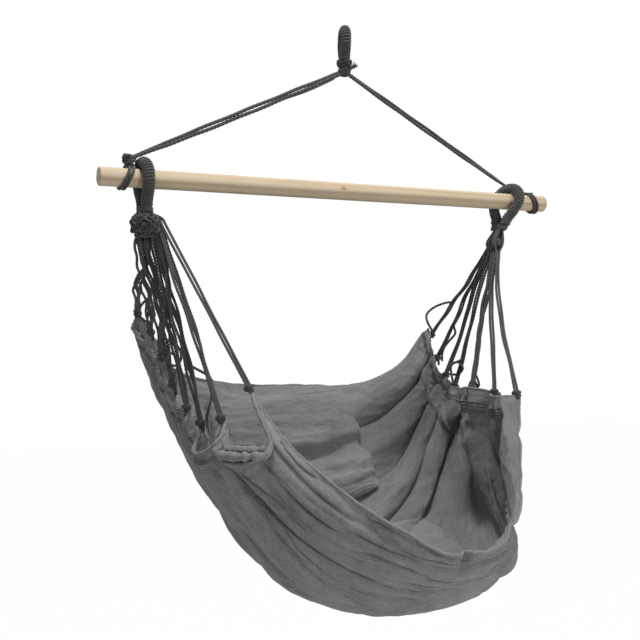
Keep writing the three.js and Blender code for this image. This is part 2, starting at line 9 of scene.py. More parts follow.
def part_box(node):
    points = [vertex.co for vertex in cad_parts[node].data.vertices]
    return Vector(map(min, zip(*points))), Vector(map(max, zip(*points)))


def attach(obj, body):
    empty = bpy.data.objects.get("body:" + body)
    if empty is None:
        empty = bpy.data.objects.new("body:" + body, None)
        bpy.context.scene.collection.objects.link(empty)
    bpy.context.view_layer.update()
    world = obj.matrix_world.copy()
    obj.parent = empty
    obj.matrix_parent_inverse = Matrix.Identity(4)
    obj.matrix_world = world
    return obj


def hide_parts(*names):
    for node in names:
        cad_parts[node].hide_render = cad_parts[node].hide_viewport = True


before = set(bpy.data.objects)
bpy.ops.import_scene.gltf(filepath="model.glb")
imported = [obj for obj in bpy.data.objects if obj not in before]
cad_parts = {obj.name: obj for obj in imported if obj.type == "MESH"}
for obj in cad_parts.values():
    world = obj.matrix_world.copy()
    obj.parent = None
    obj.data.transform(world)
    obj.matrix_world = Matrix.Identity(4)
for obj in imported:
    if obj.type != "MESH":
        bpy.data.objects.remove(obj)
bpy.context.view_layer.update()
bpy.ops.object.select_all(action="DESELECT")

# Camera and studio
# The camera stands to the left of the chair and in front of it, level with the fall of the cords.
# The floor and the background are pale, and the light is broad and comes from above.
lens = 56.25
camera_place = (-0.929, -1.799, -0.575)
camera_turn_deg = -25.92
bpy.ops.object.camera_add(location=camera_place, rotation=(math.pi / 2, 0, math.radians(camera_turn_deg)))
camera = bpy.context.object
camera.data.lens = lens
bpy.context.scene.camera = camera
bpy.context.scene.view_settings.view_transform = "Standard"


def new_node(tree, kind, **settings):
    """A node with its settings. Names with a capital letter are its inputs, which take a value or a link."""
    node = tree.nodes.new(kind)
    for name, value in settings.items():
        socket_name = name.replace("_", " ")
        if isinstance(value, bpy.types.NodeSocket):
            tree.links.new(value, node.inputs[socket_name])
        elif name[0].isupper():
            node.inputs[socket_name].default_value = value
        else:
            setattr(node, name, value)
    return node


def math_node(tree, operation, *operands, clamp=False):
    """Joins sockets or numbers by one operation and gives its output."""
    node = new_node(tree, "ShaderNodeMath", operation=operation, use_clamp=clamp)
    for socket, operand in zip(node.inputs, operands):
        if isinstance(operand, (int, float)):
            socket.default_value = operand
        else:
            tree.links.new(operand, socket)
    return node.outputs[0]


def seen_straight(tree):
    """1 for rays that show the background itself, or its mirror image, and 0 for light on the object"""
    rays = tree.nodes.new("ShaderNodeLightPath").outputs
    seen = math_node(tree, "MAXIMUM", rays["Is Camera Ray"], rays["Is Glossy Ray"])
    return math_node(tree, "MAXIMUM", seen, rays["Is Transmission Ray"])


def mix_shaders(tree, factor, first, second, output):
    mix = tree.nodes.new("ShaderNodeMixShader")
    tree.links.new(factor, mix.inputs[0])
    tree.links.new(first.outputs[0], mix.inputs[1])
    tree.links.new(second.outputs[0], mix.inputs[2])
    tree.links.new(mix.outputs[0], output.inputs["Surface"])


world_light = 0.28
world = bpy.data.worlds.new("studio")
world.use_nodes = True
tree = world.node_tree
lighting = tree.nodes["Background"]
lighting.inputs["Strength"].default_value = world_light
lighting.inputs["Color"].default_value = (1, 1, 1, 1)
backdrop = new_node(tree, "ShaderNodeBackground", Color=(1, 1, 1, 1), Strength=1.0)
mix_shaders(tree, seen_straight(tree), lighting, backdrop, tree.nodes["World Output"])
bpy.context.scene.world = world

floor_height = -1.7
floor_size = 14
floor_white_share = 0.985
bpy.ops.mesh.primitive_plane_add(size=floor_size, location=(0, 0, floor_height))
floor = bpy.context.object
floor.name = "studio_floor"
paint = bpy.data.materials.new("studio_floor")
paint.use_nodes = True
tree = paint.node_tree
tree.nodes.remove(tree.nodes["Principled BSDF"])
matt = new_node(tree, "ShaderNodeBsdfDiffuse", Color=(0.86, 0.86, 0.86, 1))
glow = new_node(tree, "ShaderNodeEmission", Color=(1, 1, 1, 1), Strength=1.0)
share = math_node(tree, "MULTIPLY", seen_straight(tree), floor_white_share)
mix_shaders(tree, share, matt, glow, tree.nodes["Material Output"])
floor.data.materials.append(paint)

lamps = {  # place, size in metres and power in watts
    "key_light": ((-0.35, -0.75, 2.5), 0.8, 122),
    "fill_light": ((0.9, -3.0, -0.1), 1.4, 40),
}
for lamp_name, (place, size, power) in lamps.items():
    aim = Vector((0, 0, -0.8)) - Vector(place)
    bpy.ops.object.light_add(type="AREA", location=place, rotation=aim.to_track_quat("-Z", "Y").to_euler())
    bpy.context.object.name = lamp_name
    bpy.context.object.data.size = size
    bpy.context.object.data.energy = power

# Hanging loop
# A thick cotton rope bent into a teardrop takes the hook. A thinner cord is wound round it, turn on turn,
# and the two legs meet in a throat.
gap = 0.0003
hook_radius = 0.012
loop_outer_radius = 0.0105
loop_height = 0.051
loop_turn_deg = 17
serving_width = 0.0046
leg_pull_share = 0.62
spring = math.pi / 12


def spline_weights(shares, count):
    """Weights of evenly spaced points on a smooth curve, at each share of its run"""
    last = count - 1
    x = np.clip(shares, 0, 1) * last
    i = np.minimum(x.astype(int), last - 1)
    f = x - i
    weights = np.zeros((len(x), count + 2))
    row = np.arange(len(x))
    weights[row, i] = (-f + 2 * f**2 - f**3) / 2
    weights[row, i + 1] = (2 - 5 * f**2 + 3 * f**3) / 2
    weights[row, i + 2] = (f + 4 * f**2 - 3 * f**3) / 2
    weights[row, i + 3] = (-(f**2) + f**3) / 2
    weights[:, 1] += 2 * weights[:, 0]
    weights[:, 2] -= weights[:, 0]
    weights[:, -2] += 2 * weights[:, -1]
    weights[:, -3] -= weights[:, -1]
    return weights[:, 1:-1]


def evenly(points, step):
    """Points a step apart along a line of close points"""
    points = np.asarray(points, float)
    run = np.concatenate([[0], np.cumsum(np.linalg.norm(np.diff(points, axis=0), axis=1))])
    count = max(2, round(run[-1] / step) + 1)
    at = np.linspace(0, run[-1], count)
    return np.stack([np.interp(at, run, points[:, k]) for k in range(3)], 1)


def smooth_route(points, step):
    """Evenly spaced points on a smooth curve through given ones"""
    points = np.asarray(points, float)
    fine = spline_weights(np.linspace(0, 1, 24 * len(points)), len(points)) @ points
    return evenly(fine, step)


def frames_along(points):
    """Two directions across a line, at each of its points, that never twist"""
    tangents = np.gradient(points, axis=0)
    tangents /= np.linalg.norm(tangents, axis=1, keepdims=True)
    across = np.empty_like(points)
    side = np.eye(3)[np.argmin(np.abs(tangents[0]))]
    for i, tangent in enumerate(tangents):
        side = side - tangent * (side @ tangent)
        side /= np.linalg.norm(side)
        across[i] = side
    return across, np.cross(tangents, across)


def tube(points, radius, sides=8, lay=0.0, swell=None):
    """Rings of a tube along points, with rope coordinates. A lay gives it three twisted strands."""
    across, up = frames_along(points)
    run = np.concatenate([[0], np.cumsum(np.linalg.norm(np.diff(points, axis=0), axis=1))])
    angle = np.linspace(0, 2 * np.pi, sides, endpoint=False)
    twist = 2 * np.pi * run / lay if lay else np.zeros(len(run))
    turned = angle[None, :] + twist[:, None]
    strand_groove = 0.26
    lobes = 1 - strand_groove * (1 - np.abs(np.cos(1.5 * angle))) if lay else np.ones(sides)
    reach = radius * lobes[None, :] * (np.ones(len(run)) if swell is None else swell)[:, None]
    rings = (points[:, None, :] + (reach * np.cos(turned))[..., None] * across[:, None, :]
             + (reach * np.sin(turned))[..., None] * up[:, None, :])
    return rings, run, 2 * np.pi * radius


def new_piece(name, points, faces, uv_name=None, corner_uvs=None):
    """An object of one smooth mesh, with a pair of coordinates for each corner of each face"""
    mesh = bpy.data.meshes.new(name)
    mesh.from_pydata(points.tolist(), [], faces)
    if uv_name:
        mesh.uv_layers.new(name=uv_name).data.foreach_set("uv", corner_uvs.ravel())
    mesh.shade_smooth()
    piece = bpy.data.objects.new(name, mesh)
    bpy.context.collection.objects.link(piece)
    return piece


def skin(name, tubes, uv_name="rope"):
    """One mesh from tubes of rings, closed at both ends"""
    vertices, faces, uvs, start = [], [], [], 0
    for rings, run, girth in tubes:
        count, sides = rings.shape[:2]
        i, j = np.meshgrid(np.arange(count - 1), np.arange(sides), indexing="ij")
        after = (j + 1) % sides
        quads = np.stack([i * sides + j, i * sides + after, (i + 1) * sides + after, (i + 1) * sides + j], -1)
        u = np.stack([j, j + 1, j + 1, j], -1) * (girth / sides)
        v = np.stack([run[i], run[i], run[i + 1], run[i + 1]], -1)
        vertices.append(rings.reshape(-1, 3))
        faces.extend((quads.reshape(-1, 4) + start).tolist())
        uvs.append(np.stack([u, v], -1).reshape(-1, 2))
        ends = [range(sides)[::-1], range((count - 1) * sides, count * sides)]
        for end, distance in zip(ends, (run[0], run[-1])):
            faces.append([start + k for k in end])
            uvs.append(np.full((sides, 2), distance))
        start += count * sides
    return new_piece(name, np.concatenate(vertices), faces, uv_name, np.concatenate(uvs))


def teardrop(radius, throat_half, depth, straight, spread=1.0):
    """Line of a rope eye in the YZ plane: an arc over the top, and legs that draw in to a straight throat"""
    angle = np.linspace(math.pi + spring, -spring, 90)
    arc = np.stack([0 * angle, spread * radius * np.cos(angle), radius * np.sin(angle)], 1)
    start, foot = arc[-1], np.array([0, throat_half, straight - depth])
    pull = (start[2] - foot[2]) * leg_pull_share
    away = start - pull * np.array([0, math.sin(spring), math.cos(spring)])
    near = np.array([0, throat_half, start[2] - pull])
    t = np.linspace(0, 1, 60)[1:, None]
    leg = (1 - t) ** 3 * start + 3 * t * (1 - t) ** 2 * away + 3 * t**2 * (1 - t) * near + t**3 * foot
    leg = np.vstack([leg, [0, throat_half, -depth]])
    return np.vstack([(leg * (1, -1, 1))[::-1], arc, leg])


def winding(line, radius, pitch, thickness, wander=0.0):
    """A cord wound closely round a line, with a little unevenness from turn to turn"""
    line = evenly(line, thickness / 8)
    across, up = frames_along(line)
    run = np.linspace(0, (len(line) - 1) * thickness / 8, len(line))
    turns = run / pitch
    count = int(turns[-1] * 26)
    at = np.linspace(0, turns[-1], count)
    angle = 2 * np.pi * at
    uneven = radius * (1 + wander * np.sin(at * 2.7) * np.sin(at * 0.9 + 1))
    pick = lambda table: np.stack([np.interp(at, turns, table[:, k]) for k in range(3)], 1)
    return pick(line) + uneven[:, None] * (np.cos(angle)[:, None] * pick(across)
                                           + np.sin(angle)[:, None] * pick(up))


def turned_about_z(points, degrees):
    c, s = math.cos(math.radians(degrees)), math.sin(math.radians(degrees))
    return np.asarray(points) @ np.array([[c, s, 0], [-s, c, 0], [0, 0, 1]])


def new_finish(name, roughness, sheen=0.0, sheen_roughness=0.5):
    """A dull material and its node tree"""
    material = bpy.data.materials.new(name)
    material.use_nodes = True
    sockets = material.node_tree.nodes["Principled BSDF"].inputs
    sockets["Roughness"].default_value = roughness
    sockets["Sheen Weight"].default_value = sheen
    sockets["Sheen Roughness"].default_value = sheen_roughness
    return material, material.node_tree


def mapped(tree, place, **settings):
    return new_node(tree, "ShaderNodeMapping", Vector=place, **settings).outputs[0]


def texture(tree, kind, place, **settings):
    """Value of a wave or noise texture at a place"""
    return new_node(tree, "ShaderNodeTex" + kind, Vector=place, **settings).outputs["Fac"]


def ramp_colour(tree, factor, *stops):
    """Colour for a factor between places, each with its colour"""
    ramp = new_node(tree, "ShaderNodeValToRGB", Fac=factor)
    elements = ramp.color_ramp.elements
    elements[0].position, elements[1].position = stops[0][0], stops[-1][0]
    for place, _ in stops[1:-1]:
        elements.new(place)
    for element, (_, colour) in zip(elements, stops):
        element.color = (*colour, 1)
    return ramp.outputs["Color"]


def set_surface(tree, colour, height, strength, distance):
    """Gives the main shader its colour and its fine relief"""
    shader = tree.nodes["Principled BSDF"]
    bump = new_node(tree, "ShaderNodeBump", Strength=strength, Distance=distance, Height=height)
    tree.links.new(colour, shader.inputs["Base Color"])
    tree.links.new(bump.outputs[0], shader.inputs["Normal"])


def cord_finish(name, shade, lightness):
    """Dull twisted cotton. Yarns run along the strands, and stray fibres catch the light."""
    material, tree = new_finish(name, 0.95, 0.18, 0.6)
    uv = new_node(tree, "ShaderNodeUVMap", uv_map="rope").outputs[0]
    yarns = texture(tree, "Wave", mapped(tree, uv, Rotation=(0, 0, math.radians(58))), Scale=310,
                    Distortion=3.0, Detail=2.0, Detail_Scale=2.0)
    fibres = texture(tree, "Noise", uv, Scale=1400, Detail=3, Roughness=0.7)
    worn = math_node(tree, "MULTIPLY_ADD", texture(tree, "Noise", uv, Scale=60, Detail=2), 0.5, 0.25)
    tone = math_node(tree, "MULTIPLY", yarns, fibres)
    tone = math_node(tree, "ADD", tone, math_node(tree, "MULTIPLY", worn, 0.5), clamp=True)
    colour = ramp_colour(tree, tone, (0.15, (shade * 0.55,) * 3), (0.85, (shade * lightness,) * 3))
    set_surface(tree, colour, math_node(tree, "MULTIPLY_ADD", yarns, 0.7, fibres), 0.55, 0.0004)
    return material


charcoal = cord_finish("charcoal_cord", 0.025, 2.0)
charcoal_serving = cord_finish("charcoal_serving", 0.031, 1.7)


def dress(piece, material, body, slot, *nodes):
    """Gives a piece its finish, the body that it moves with and the CAD nodes that it stands for"""
    piece.data.materials.clear()
    piece.data.materials.append(material)
    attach(piece, body)
    if nodes:
        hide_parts(*nodes)


def cord_piece(name, tubes, body, *nodes, material=charcoal):
    """A piece of cord or rope, made of tubes"""
    dress(skin(name, tubes), material, body, "charcoal_cord", *nodes)


loop_crown = hook_radius + loop_outer_radius
loop_depth = loop_height - hook_radius
loop_line = teardrop(loop_crown, loop_outer_radius + gap, loop_depth, serving_width)
loop_line = turned_about_z(loop_line, -loop_turn_deg) - (0, 0, hook_radius)
serving_radius = serving_width / 2
core_inset = 1.6 * serving_radius
loop_core = tube(evenly(loop_line, 0.003), loop_outer_radius - core_inset, 16)
wound = winding(loop_line, loop_outer_radius - serving_radius, serving_width * 1.02, serving_width, 0.02)
cord_piece("hanging_loop", [loop_core, tube(wound, serving_radius, 7)], "hanging_eye",
           "hanging_loop_core", "hanging_loop_whipping", material=charcoal_serving)

# Neck
# Rope turns bind the loop's legs on a slant. Under them the hanging ropes are gathered in one knot, and
# the cut end of a rope stands out of it, frayed into its yarns.
rope_radius = 0.003


def ring_of_rope(centre, half_wide, half_thick, turns, pitch, tilt=(0, 0, 0), lead=0.0):
    """Line of a few turns of rope round something oval"""
    angle = np.linspace(0, 2 * np.pi * turns, int(40 * turns))
    points = np.stack([half_thick * np.cos(angle + lead), half_wide * np.sin(angle + lead),
                       -pitch * (angle / (2 * np.pi) - turns / 2)], 1)
    spin = np.array(Matrix.Rotation(tilt[2], 3, "Z") @ Matrix.Rotation(tilt[1], 3, "Y")
                    @ Matrix.Rotation(tilt[0], 3, "X"))
    return points @ spin.T + np.asarray(centre)


def overhand(centre, size, axis, spin=0.0, tight=0.42):
    """Line of an overhand knot: a trefoil whose hole points along an axis"""
    t = np.linspace(0, 2 * np.pi, 90) + spin
    points = np.stack([(1 + tight * np.cos(3 * t)) * np.cos(2 * t),
                       (1 + tight * np.cos(3 * t)) * np.sin(2 * t),
                       1.1 * tight * np.sin(3 * t)], 1)
    reach = np.abs(points[:, :2]).max()
    turn = np.array(Vector(axis).to_track_quat("Z", "Y").to_matrix())
    return (points * (size / reach)) @ turn.T + np.asarray(centre)


def middle(node):
    low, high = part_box(node)
    return np.array((low + high) / 2)


def rope(*lines, radius=rope_radius):
    """Tubes of three-strand rope along lines"""
    return [tube(evenly(line, radius * 0.42), radius, 18, radius * 7) for line in lines]


def core(points, radius):
    """Plain tube that fills the inside of a knot or a binding"""
    return tube(np.asarray(points, float), radius, 14)


neck_low, neck_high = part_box("neck_seizing")
neck_middle = middle("neck_seizing")
neck_half = ((neck_high - neck_low).y / 2 - rope_radius, (neck_high - neck_low).x / 2 - rope_radius)
slanted = ring_of_rope(neck_middle - (0, 0, 0.001), neck_half[0] - 0.003, neck_half[1], 2.1, 0.0052,
                       (-0.10, 0.34, 0), 0.6)
level = ring_of_rope(neck_middle + (0, 0, 0.003), neck_half[0] - 0.001, neck_half[1], 1.1, 0.004,
                     (0.05, 0.05, 0), 2.0)
neck_fill = core([neck_middle + (0, 0, z) for z in (0.009, 0.0, -0.008)], 0.0115)
cord_piece("neck_binding", rope(slanted, level) + [neck_fill], "neck", "neck_seizing")

knot_centre = middle("neck_knot")
knot_radius = 0.0115
coils = [((0.25, 0.55, 0.2), 0.0), ((-0.3, 0.7, 0.6), 2.0), ((0.1, -0.5, -0.5), 4.0)]
knot_lines = [ring_of_rope(knot_centre + (0, 0, 0.001), knot_radius - 0.001, knot_radius - 0.002, 1.6, 0.005,
                           tilt, lead) for tilt, lead in coils]
knot_lines.append(overhand(knot_centre, knot_radius - 0.002, (0.4, -1, 0.3)))
knot_fill = core([knot_centre + (0, 0, z) for z in (0.007, 0, -0.006)], 0.007)
cord_piece("neck_knot_of_rope", rope(*knot_lines) + [knot_fill], "fork", "neck_knot")

rng = np.random.default_rng(7)
tail_rise = math.radians(32)
tail_along = np.array([math.cos(tail_rise), 0, math.sin(tail_rise)])
tail_root = knot_centre + tail_along * (knot_radius - 0.002)
tail_length = 0.023
tail_tubes = rope([tail_root, tail_root + tail_along * tail_length * 0.45], radius=rope_radius * 1.15)
yarn_count = 34
for _ in range(yarn_count):
    fray = rng.normal(size=3)
    fray -= tail_along * (fray @ tail_along)
    fray *= rng.uniform(0.2, 1.0) / np.linalg.norm(fray)
    fray[2] = max(fray[2], -0.2)
    reach = tail_length * rng.uniform(0.65, 1.0)
    yarn = [tail_root + tail_along * tail_length * 0.2 + fray * 0.001,
            tail_root + tail_along * reach * 0.65 + fray * 0.0035,
            tail_root + tail_along * reach + fray * 0.010 * rng.uniform(0.5, 1.1)]
    tail_tubes.append(tube(smooth_route(yarn, 0.0015), 0.0009, 6))
cord_piece("frayed_rope_end", tail_tubes, "neck", "neck_rope_tail")

# Spreader bar
# A round bar of pale planed softwood, a metre long, with its sawn ends eased by sandpaper.
bar_low, bar_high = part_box("spreader_bar")
bar_radius = (bar_high.z - bar_low.z) / 2
bar_height = (bar_high.z + bar_low.z) / 2
bar_ease = 0.003
bpy.ops.mesh.primitive_cylinder_add(vertices=96, radius=bar_radius, depth=bar_high.x - bar_low.x,
                                    location=(0, 0, bar_height), rotation=(0, math.pi / 2, 0))
bar = bpy.context.object
bar.name = "wooden_bar"
bpy.ops.object.transform_apply(location=True, rotation=True, scale=True)
bpy.ops.object.mode_set(mode="EDIT")
bpy.ops.mesh.select_mode(type="FACE")
bpy.ops.mesh.select_all(action="DESELECT")
bpy.ops.object.mode_set(mode="OBJECT")
for face in bar.data.polygons:
    face.select = abs(face.normal.x) > 0.9
bpy.ops.object.mode_set(mode="EDIT")
bpy.ops.mesh.bevel(offset=bar_ease, segments=4, profile=0.5, affect="EDGES")
bpy.ops.object.mode_set(mode="OBJECT")
bpy.ops.object.shade_smooth_by_angle(angle=math.radians(40))

pine, tree = new_finish("pine", 0.62)
place = tree.nodes.new("ShaderNodeTexCoord").outputs["Object"]
along_grain = mapped(tree, place, Scale=(1.6, 26, 26), Location=(0.3, 0.2, 0.1))
rings = texture(tree, "Wave", along_grain, wave_type="RINGS", rings_direction="X", Scale=0.9, Distortion=5.0,
                Detail=3, Detail_Scale=0.8)
streaks = texture(tree, "Noise", mapped(tree, place, Scale=(9, 420, 420)), Scale=1.0, Detail=4,
                  Roughness=0.65)
blotches = texture(tree, "Noise", place, Scale=7, Detail=2)
grain = math_node(tree, "MULTIPLY_ADD", rings, 0.45, math_node(tree, "MULTIPLY", streaks, 0.5))
grain = math_node(tree, "MULTIPLY_ADD", blotches, 0.35, grain)
plain_wood = ramp_colour(tree, grain, (0.2, (0.47, 0.385, 0.27)), (0.6, (0.42, 0.335, 0.225)),
                         (0.95, (0.34, 0.245, 0.15)))
wood_knot = (-0.010, -bar_radius, bar_height + 0.004)
knot_squeeze = 0.65
from_knot = new_node(tree, "ShaderNodeVectorMath", operation="DISTANCE")
from_knot.inputs[1].default_value = (0, *wood_knot[1:])
tree.links.new(mapped(tree, place, Scale=(knot_squeeze, 1, 1), Location=(-knot_squeeze * wood_knot[0], 0, 0)),
               from_knot.inputs[0])
near_knot = math_node(tree, "SUBTRACT", 0.0055, from_knot.outputs["Value"])
near_knot = math_node(tree, "MULTIPLY", near_knot, 260.0, clamp=True)
wood = new_node(tree, "ShaderNodeMix", data_type="RGBA", Factor=near_knot, A=plain_wood,
                B=(0.27, 0.16, 0.085, 1))
set_surface(tree, wood.outputs["Result"], streaks, 0.25, 0.0005)
dress(bar, pine, "spreader", "pine", "spreader_bar")

# Hitches and hanging ropes
# Each pair of ropes is wound twice round the bar near its end and knotted there, on top at the left and
# behind at the right. The ropes are three-strand cotton, and one of the left pair hangs a little slack.
bar_half = (bar_high.x - bar_low.x) / 2
hitch_pitch = 0.0075
hitch_lean = 0.007
hitches = {  # side: direction, inset from the bar's end, knot's place round the bar, knot's size
    "left": (-1, 0.050, 0, 0.0118),
    "right": (1, 0.034, 58, 0.0105),
}
for side, (sign, inset, back_deg, knot_size) in hitches.items():
    hitch_x = sign * (bar_half - inset)
    reach = bar_radius + gap + rope_radius
    turn = np.linspace(0, 2, 90)
    angle = math.pi / 2 + sign * 2 * np.pi * turn
    z = reach * np.sin(angle)
    x = hitch_pitch * (turn - 1) - sign * hitch_lean * z / reach
    coil = np.stack([hitch_x + x, reach * np.cos(angle), bar_height + z], 1)
    beyond = (0, sign * 2 * rope_radius, 0)
    coil = np.vstack([coil[0] + beyond, coil, coil[-1] - beyond])
    cord_piece(f"{side}_rope_round_bar", rope(coil), "spreader", f"{side}_bar_hitch")

    knot = middle(f"{side}_hitch_knot")
    out = np.array([0, math.sin(math.radians(back_deg)), math.cos(math.radians(back_deg))])
    along = np.array([-sign, 0, 0])
    lines = [overhand(knot, knot_size, out + along * 0.4, 0.3, 0.5),
             overhand(knot - out * 0.004, knot_size * 0.9, along + out * 0.5, 1.3, 0.45),
             overhand(knot - out * 0.001 - along * 0.003, knot_size * 0.8, (0.2, -1, 0.3), 2.1, 0.5),
             ring_of_rope(knot - out * 0.005, 0.0075, 0.0085, 1.4, 0.005, (0.2, math.radians(sign * 20), 0))]
    stub = knot - along * 0.006 + out * 0.004
    lines.append(smooth_route([knot, stub, stub - along * 0.006 - out * 0.001], 0.001))
    knot_fill = core([knot - out * 0.006, knot, knot + out * 0.005], 0.006)
    cord_piece(f"{side}_knot_on_bar", rope(*lines) + [knot_fill], "spreader", f"{side}_hitch_knot")


def blend(first, second, share):
    """Places between two others, at shares of the way"""
    return (1 - share)[:, None] * first + share[:, None] * second


rope_slack = {"left_hanging_rope_front": 0.0026, "left_hanging_rope_back": 0.0,
              "right_hanging_rope_front": 0.0008, "right_hanging_rope_back": 0.0}
rope_top = knot_centre + (0, 0, 0.0012)
for node, slack in rope_slack.items():
    side, strand = node.split("_")[0], node.split("_")[-1]
    knot = middle(f"{side}_hitch_knot")
    hand = -1 if strand == "front" else 1
    share = np.linspace(0.010, 1, 90)
    beside = math.radians(70) * np.sin(np.pi * np.clip(share * 1.15, 0, 1)) ** 0.5 + 0.35
    line = blend(rope_top, knot, share)
    line[:, 1] += hand * rope_radius * np.cos(beside)
    line[:, 2] += hand * rope_radius * np.sin(beside) - slack * np.sin(np.pi * share)
    line[:, 2] += 0.0005 * np.sin(share * 29 + hand)
    tubes = rope(line, radius=rope_radius * (1.25 if side == "left" else 1.1))
    if slack > 0.002:  # a yarn of this rope has worked loose near the neck
        sag = np.sin(np.pi * np.linspace(0.12, 1, 30) ** 0.6)
        loose = line[4:34] - np.outer(sag, (0, 0.002, 0.0052))
        tubes += rope(loose, radius=0.0015)
    cord_piece(node.replace("hanging_rope", "bar_rope"), tubes, "spreader", node)

# Rope eyes and their seizings
# A thick rope eye, wound closely with thin cord, rides over each end of the bar. A flat seizing closes its
# throat.
eye_outer_radius = 0.01165
eye_depth = 0.052
eye_seizing_height = 0.010
eyes = {  # side: direction, inset from the bar's end, foot's lean towards the middle, turn about the vertical
    "left": (-1, 0.083, 0.003, 4),
    "right": (1, 0.088, 0.028, 20),
}
eye_crown = bar_radius + gap + eye_outer_radius


def leaning(points, sign, foot_lean):
    """Moves points along the bar in proportion to how far they lie below the eye's crown"""
    points = np.array(points, float)
    points[:, 0] -= sign * foot_lean * (eye_crown - points[:, 2]) / (eye_crown + eye_depth)
    return points


eye_frames = {}
for side, (sign, inset, foot_lean, turn_deg) in eyes.items():
    centre = np.array([sign * (bar_half - inset), 0, bar_height])
    eye_frames[side] = (centre, sign, foot_lean)
    settle = lambda points: leaning(turned_about_z(points, turn_deg), sign, foot_lean) + centre
    widened = 1 / math.cos(math.radians(turn_deg))  # so that the turned eye still clears the bar
    line = settle(teardrop(eye_crown, eye_outer_radius + gap, eye_depth, serving_width, widened))
    wound = winding(line, eye_outer_radius - serving_radius, serving_width, serving_width, 0.015)
    eye_core = tube(evenly(line, 0.004), eye_outer_radius - core_inset, 18)
    cord_piece(f"{side}_served_eye", [eye_core, tube(wound, serving_radius, 7)], "seat",
               f"{side}_eye_core", f"{side}_eye_whipping", material=charcoal_serving)

    throat = np.array([0, 0, -eye_depth - gap - eye_seizing_height / 2])
    snug = 0.0005 if side == "left" else -0.0035
    binding = ring_of_rope(throat, 2 * eye_outer_radius + snug, eye_outer_radius + snug, 3.1, 0.0031,
                           lead=1.0)
    filler = throat + np.array([(0, 0, 0.006), (0, 0, 0), (0, 0, -0.006)])
    fillers = [tube(settle(filler + (0, y, 0)), 0.0105 + min(snug, 0), 14) for y in (-0.010, 0, 0.010)]
    cord_piece(f"{side}_throat_seizing", fillers + [tube(evenly(settle(binding), 0.001), 0.0017, 8)],
               "seat", f"{side}_eye_seizing", material=charcoal_serving)

# Seat cloth
# One piece of heavy grey cotton, hung by its two short ends, which are gathered into seven deep folds
# between the cords. The ends are turned over and sewn with three rows, and the long edges are hemmed.
half_length = 0.370
half_depth = 0.390
seat_drop = 0.800
cloth_thickness = 0.0024
folds = 7
cloth_net_shares = np.array([
    [[-1.0, 0.53, -0.31], [-0.82, 0.55, -0.44], [-0.47, 0.6, -0.482], [0, 0.64, -0.497],
     [0.41, 0.63, -0.5], [0.73, 0.58, -0.45], [0.91, 0.53, -0.37]],
    [[-0.95, 0.36, -0.38], [-0.85, 0.41, -0.535], [-0.57, 0.385, -0.65], [0, 0.33, -0.705],
     [0.51, 0.36, -0.67], [0.8, 0.385, -0.57], [0.88, 0.36, -0.47]],
    [[-0.93, 0.17, -0.47], [-0.84, 0.18, -0.62], [-0.61, 0.08, -0.8], [0, -0.03, -0.915],
     [0.57, 0.03, -0.84], [0.83, 0.15, -0.66], [0.88, 0.17, -0.52]],
    [[-0.9, -0.05, -0.54], [-0.79, -0.13, -0.7], [-0.54, -0.31, -0.908], [0, -0.385, -0.997],
     [0.56, -0.31, -0.915], [0.82, -0.13, -0.745], [0.86, -0.05, -0.52]],
    [[-0.89, -0.33, -0.56], [-0.76, -0.49, -0.71], [-0.45, -0.69, -0.892], [0, -0.74, -0.955],
     [0.56, -0.68, -0.918], [0.76, -0.42, -0.775], [0.78, -0.31, -0.51]],
    [[-0.77, -0.51, -0.475], [-0.65, -0.68, -0.58], [-0.41, -0.85, -0.7], [-0.01, -1.0, -0.81],
     [0.38, -0.95, -0.81], [0.67, -0.74, -0.71], [0.74, -0.53, -0.51]],
])
cloth_net = cloth_net_shares * (half_length, half_depth, seat_drop) + (0, 0, bar_height)
# Each fold's depth, its reach along the cloth and how far its hem draws in, from the back edge to the front
left_fold_shares = np.array([1.0, 0.7, 0.7, 0.8, 0.9, 1.5, 1.5])
right_fold_shares = np.array([1.5, 1.3, 1.35, 1.3, 0.6, 1.7, 1.1])
right_hem_shares = np.array([0.6, 0.45, 0.4, 0.45, 0.6, 0.9, 0.9])
right_reach_shares = np.array([0.60, 0.60, 0.60, 0.60, 0.30, 0.25, 0.36])
left_reach_share = 0.40
left_scallop_shares = np.array([0.5, 0.25, 0.25, 0.3, 0.5, 1.1, 0.0])
right_scallop_shares = np.array([-0.5, -0.6, -0.6, -0.6, 1.0, -1.0, 0.5])
scallop_reach_share = 0.09
left_fold_depth, right_fold_depth = 0.030, 0.036
left_scallop, right_scallop = 0.034, 0.012
left_lap, right_lap = 0.010, 0.008
# The front fold's hem at the left sags open as a pouch: how far it drops and slips, evenly along the fold
pouch_drop = np.array([0, 0.040, 0.048, 0.046, 0.030, 0])
pouch_slip = np.array([0, 0.010, 0.030, 0.062, 0.088, 0])
# Share of the length from the right end, then shares of the depth at the lines between the folds
right_fold_lines = np.array([
    [0.00, 0, 0.135, 0.268, 0.395, 0.505, 0.690, 0.845, 1],
    [0.05, 0, 0.120, 0.240, 0.355, 0.465, 0.640, 0.820, 1],
    [0.10, 0, 0.105, 0.212, 0.320, 0.430, 0.600, 0.860, 1],
    [0.18, 0, 0.092, 0.187, 0.268, 0.385, 0.580, 0.920, 1],
    [0.26, 0, 0.100, 0.205, 0.272, 0.360, 0.600, 0.915, 1],
    [0.36, 0, 0.120, 0.250, 0.325, 0.395, 0.600, 0.880, 1],
    [0.60, 0, 0.143, 0.286, 0.429, 0.571, 0.714, 0.857, 1],
])


def bowl(s, t):
    """Smooth bowl of the seat, s from the left end to the right end, t from the back edge to the front"""
    return np.einsum("ka,kb,bac->kc", spline_weights(s, 7), spline_weights(t, 6), cloth_net)


def unit(vectors):
    return vectors / np.linalg.norm(vectors, axis=-1, keepdims=True)


def smooth_step(x):
    x = np.clip(x, 0, 1)
    return x * x * (3 - 2 * x)


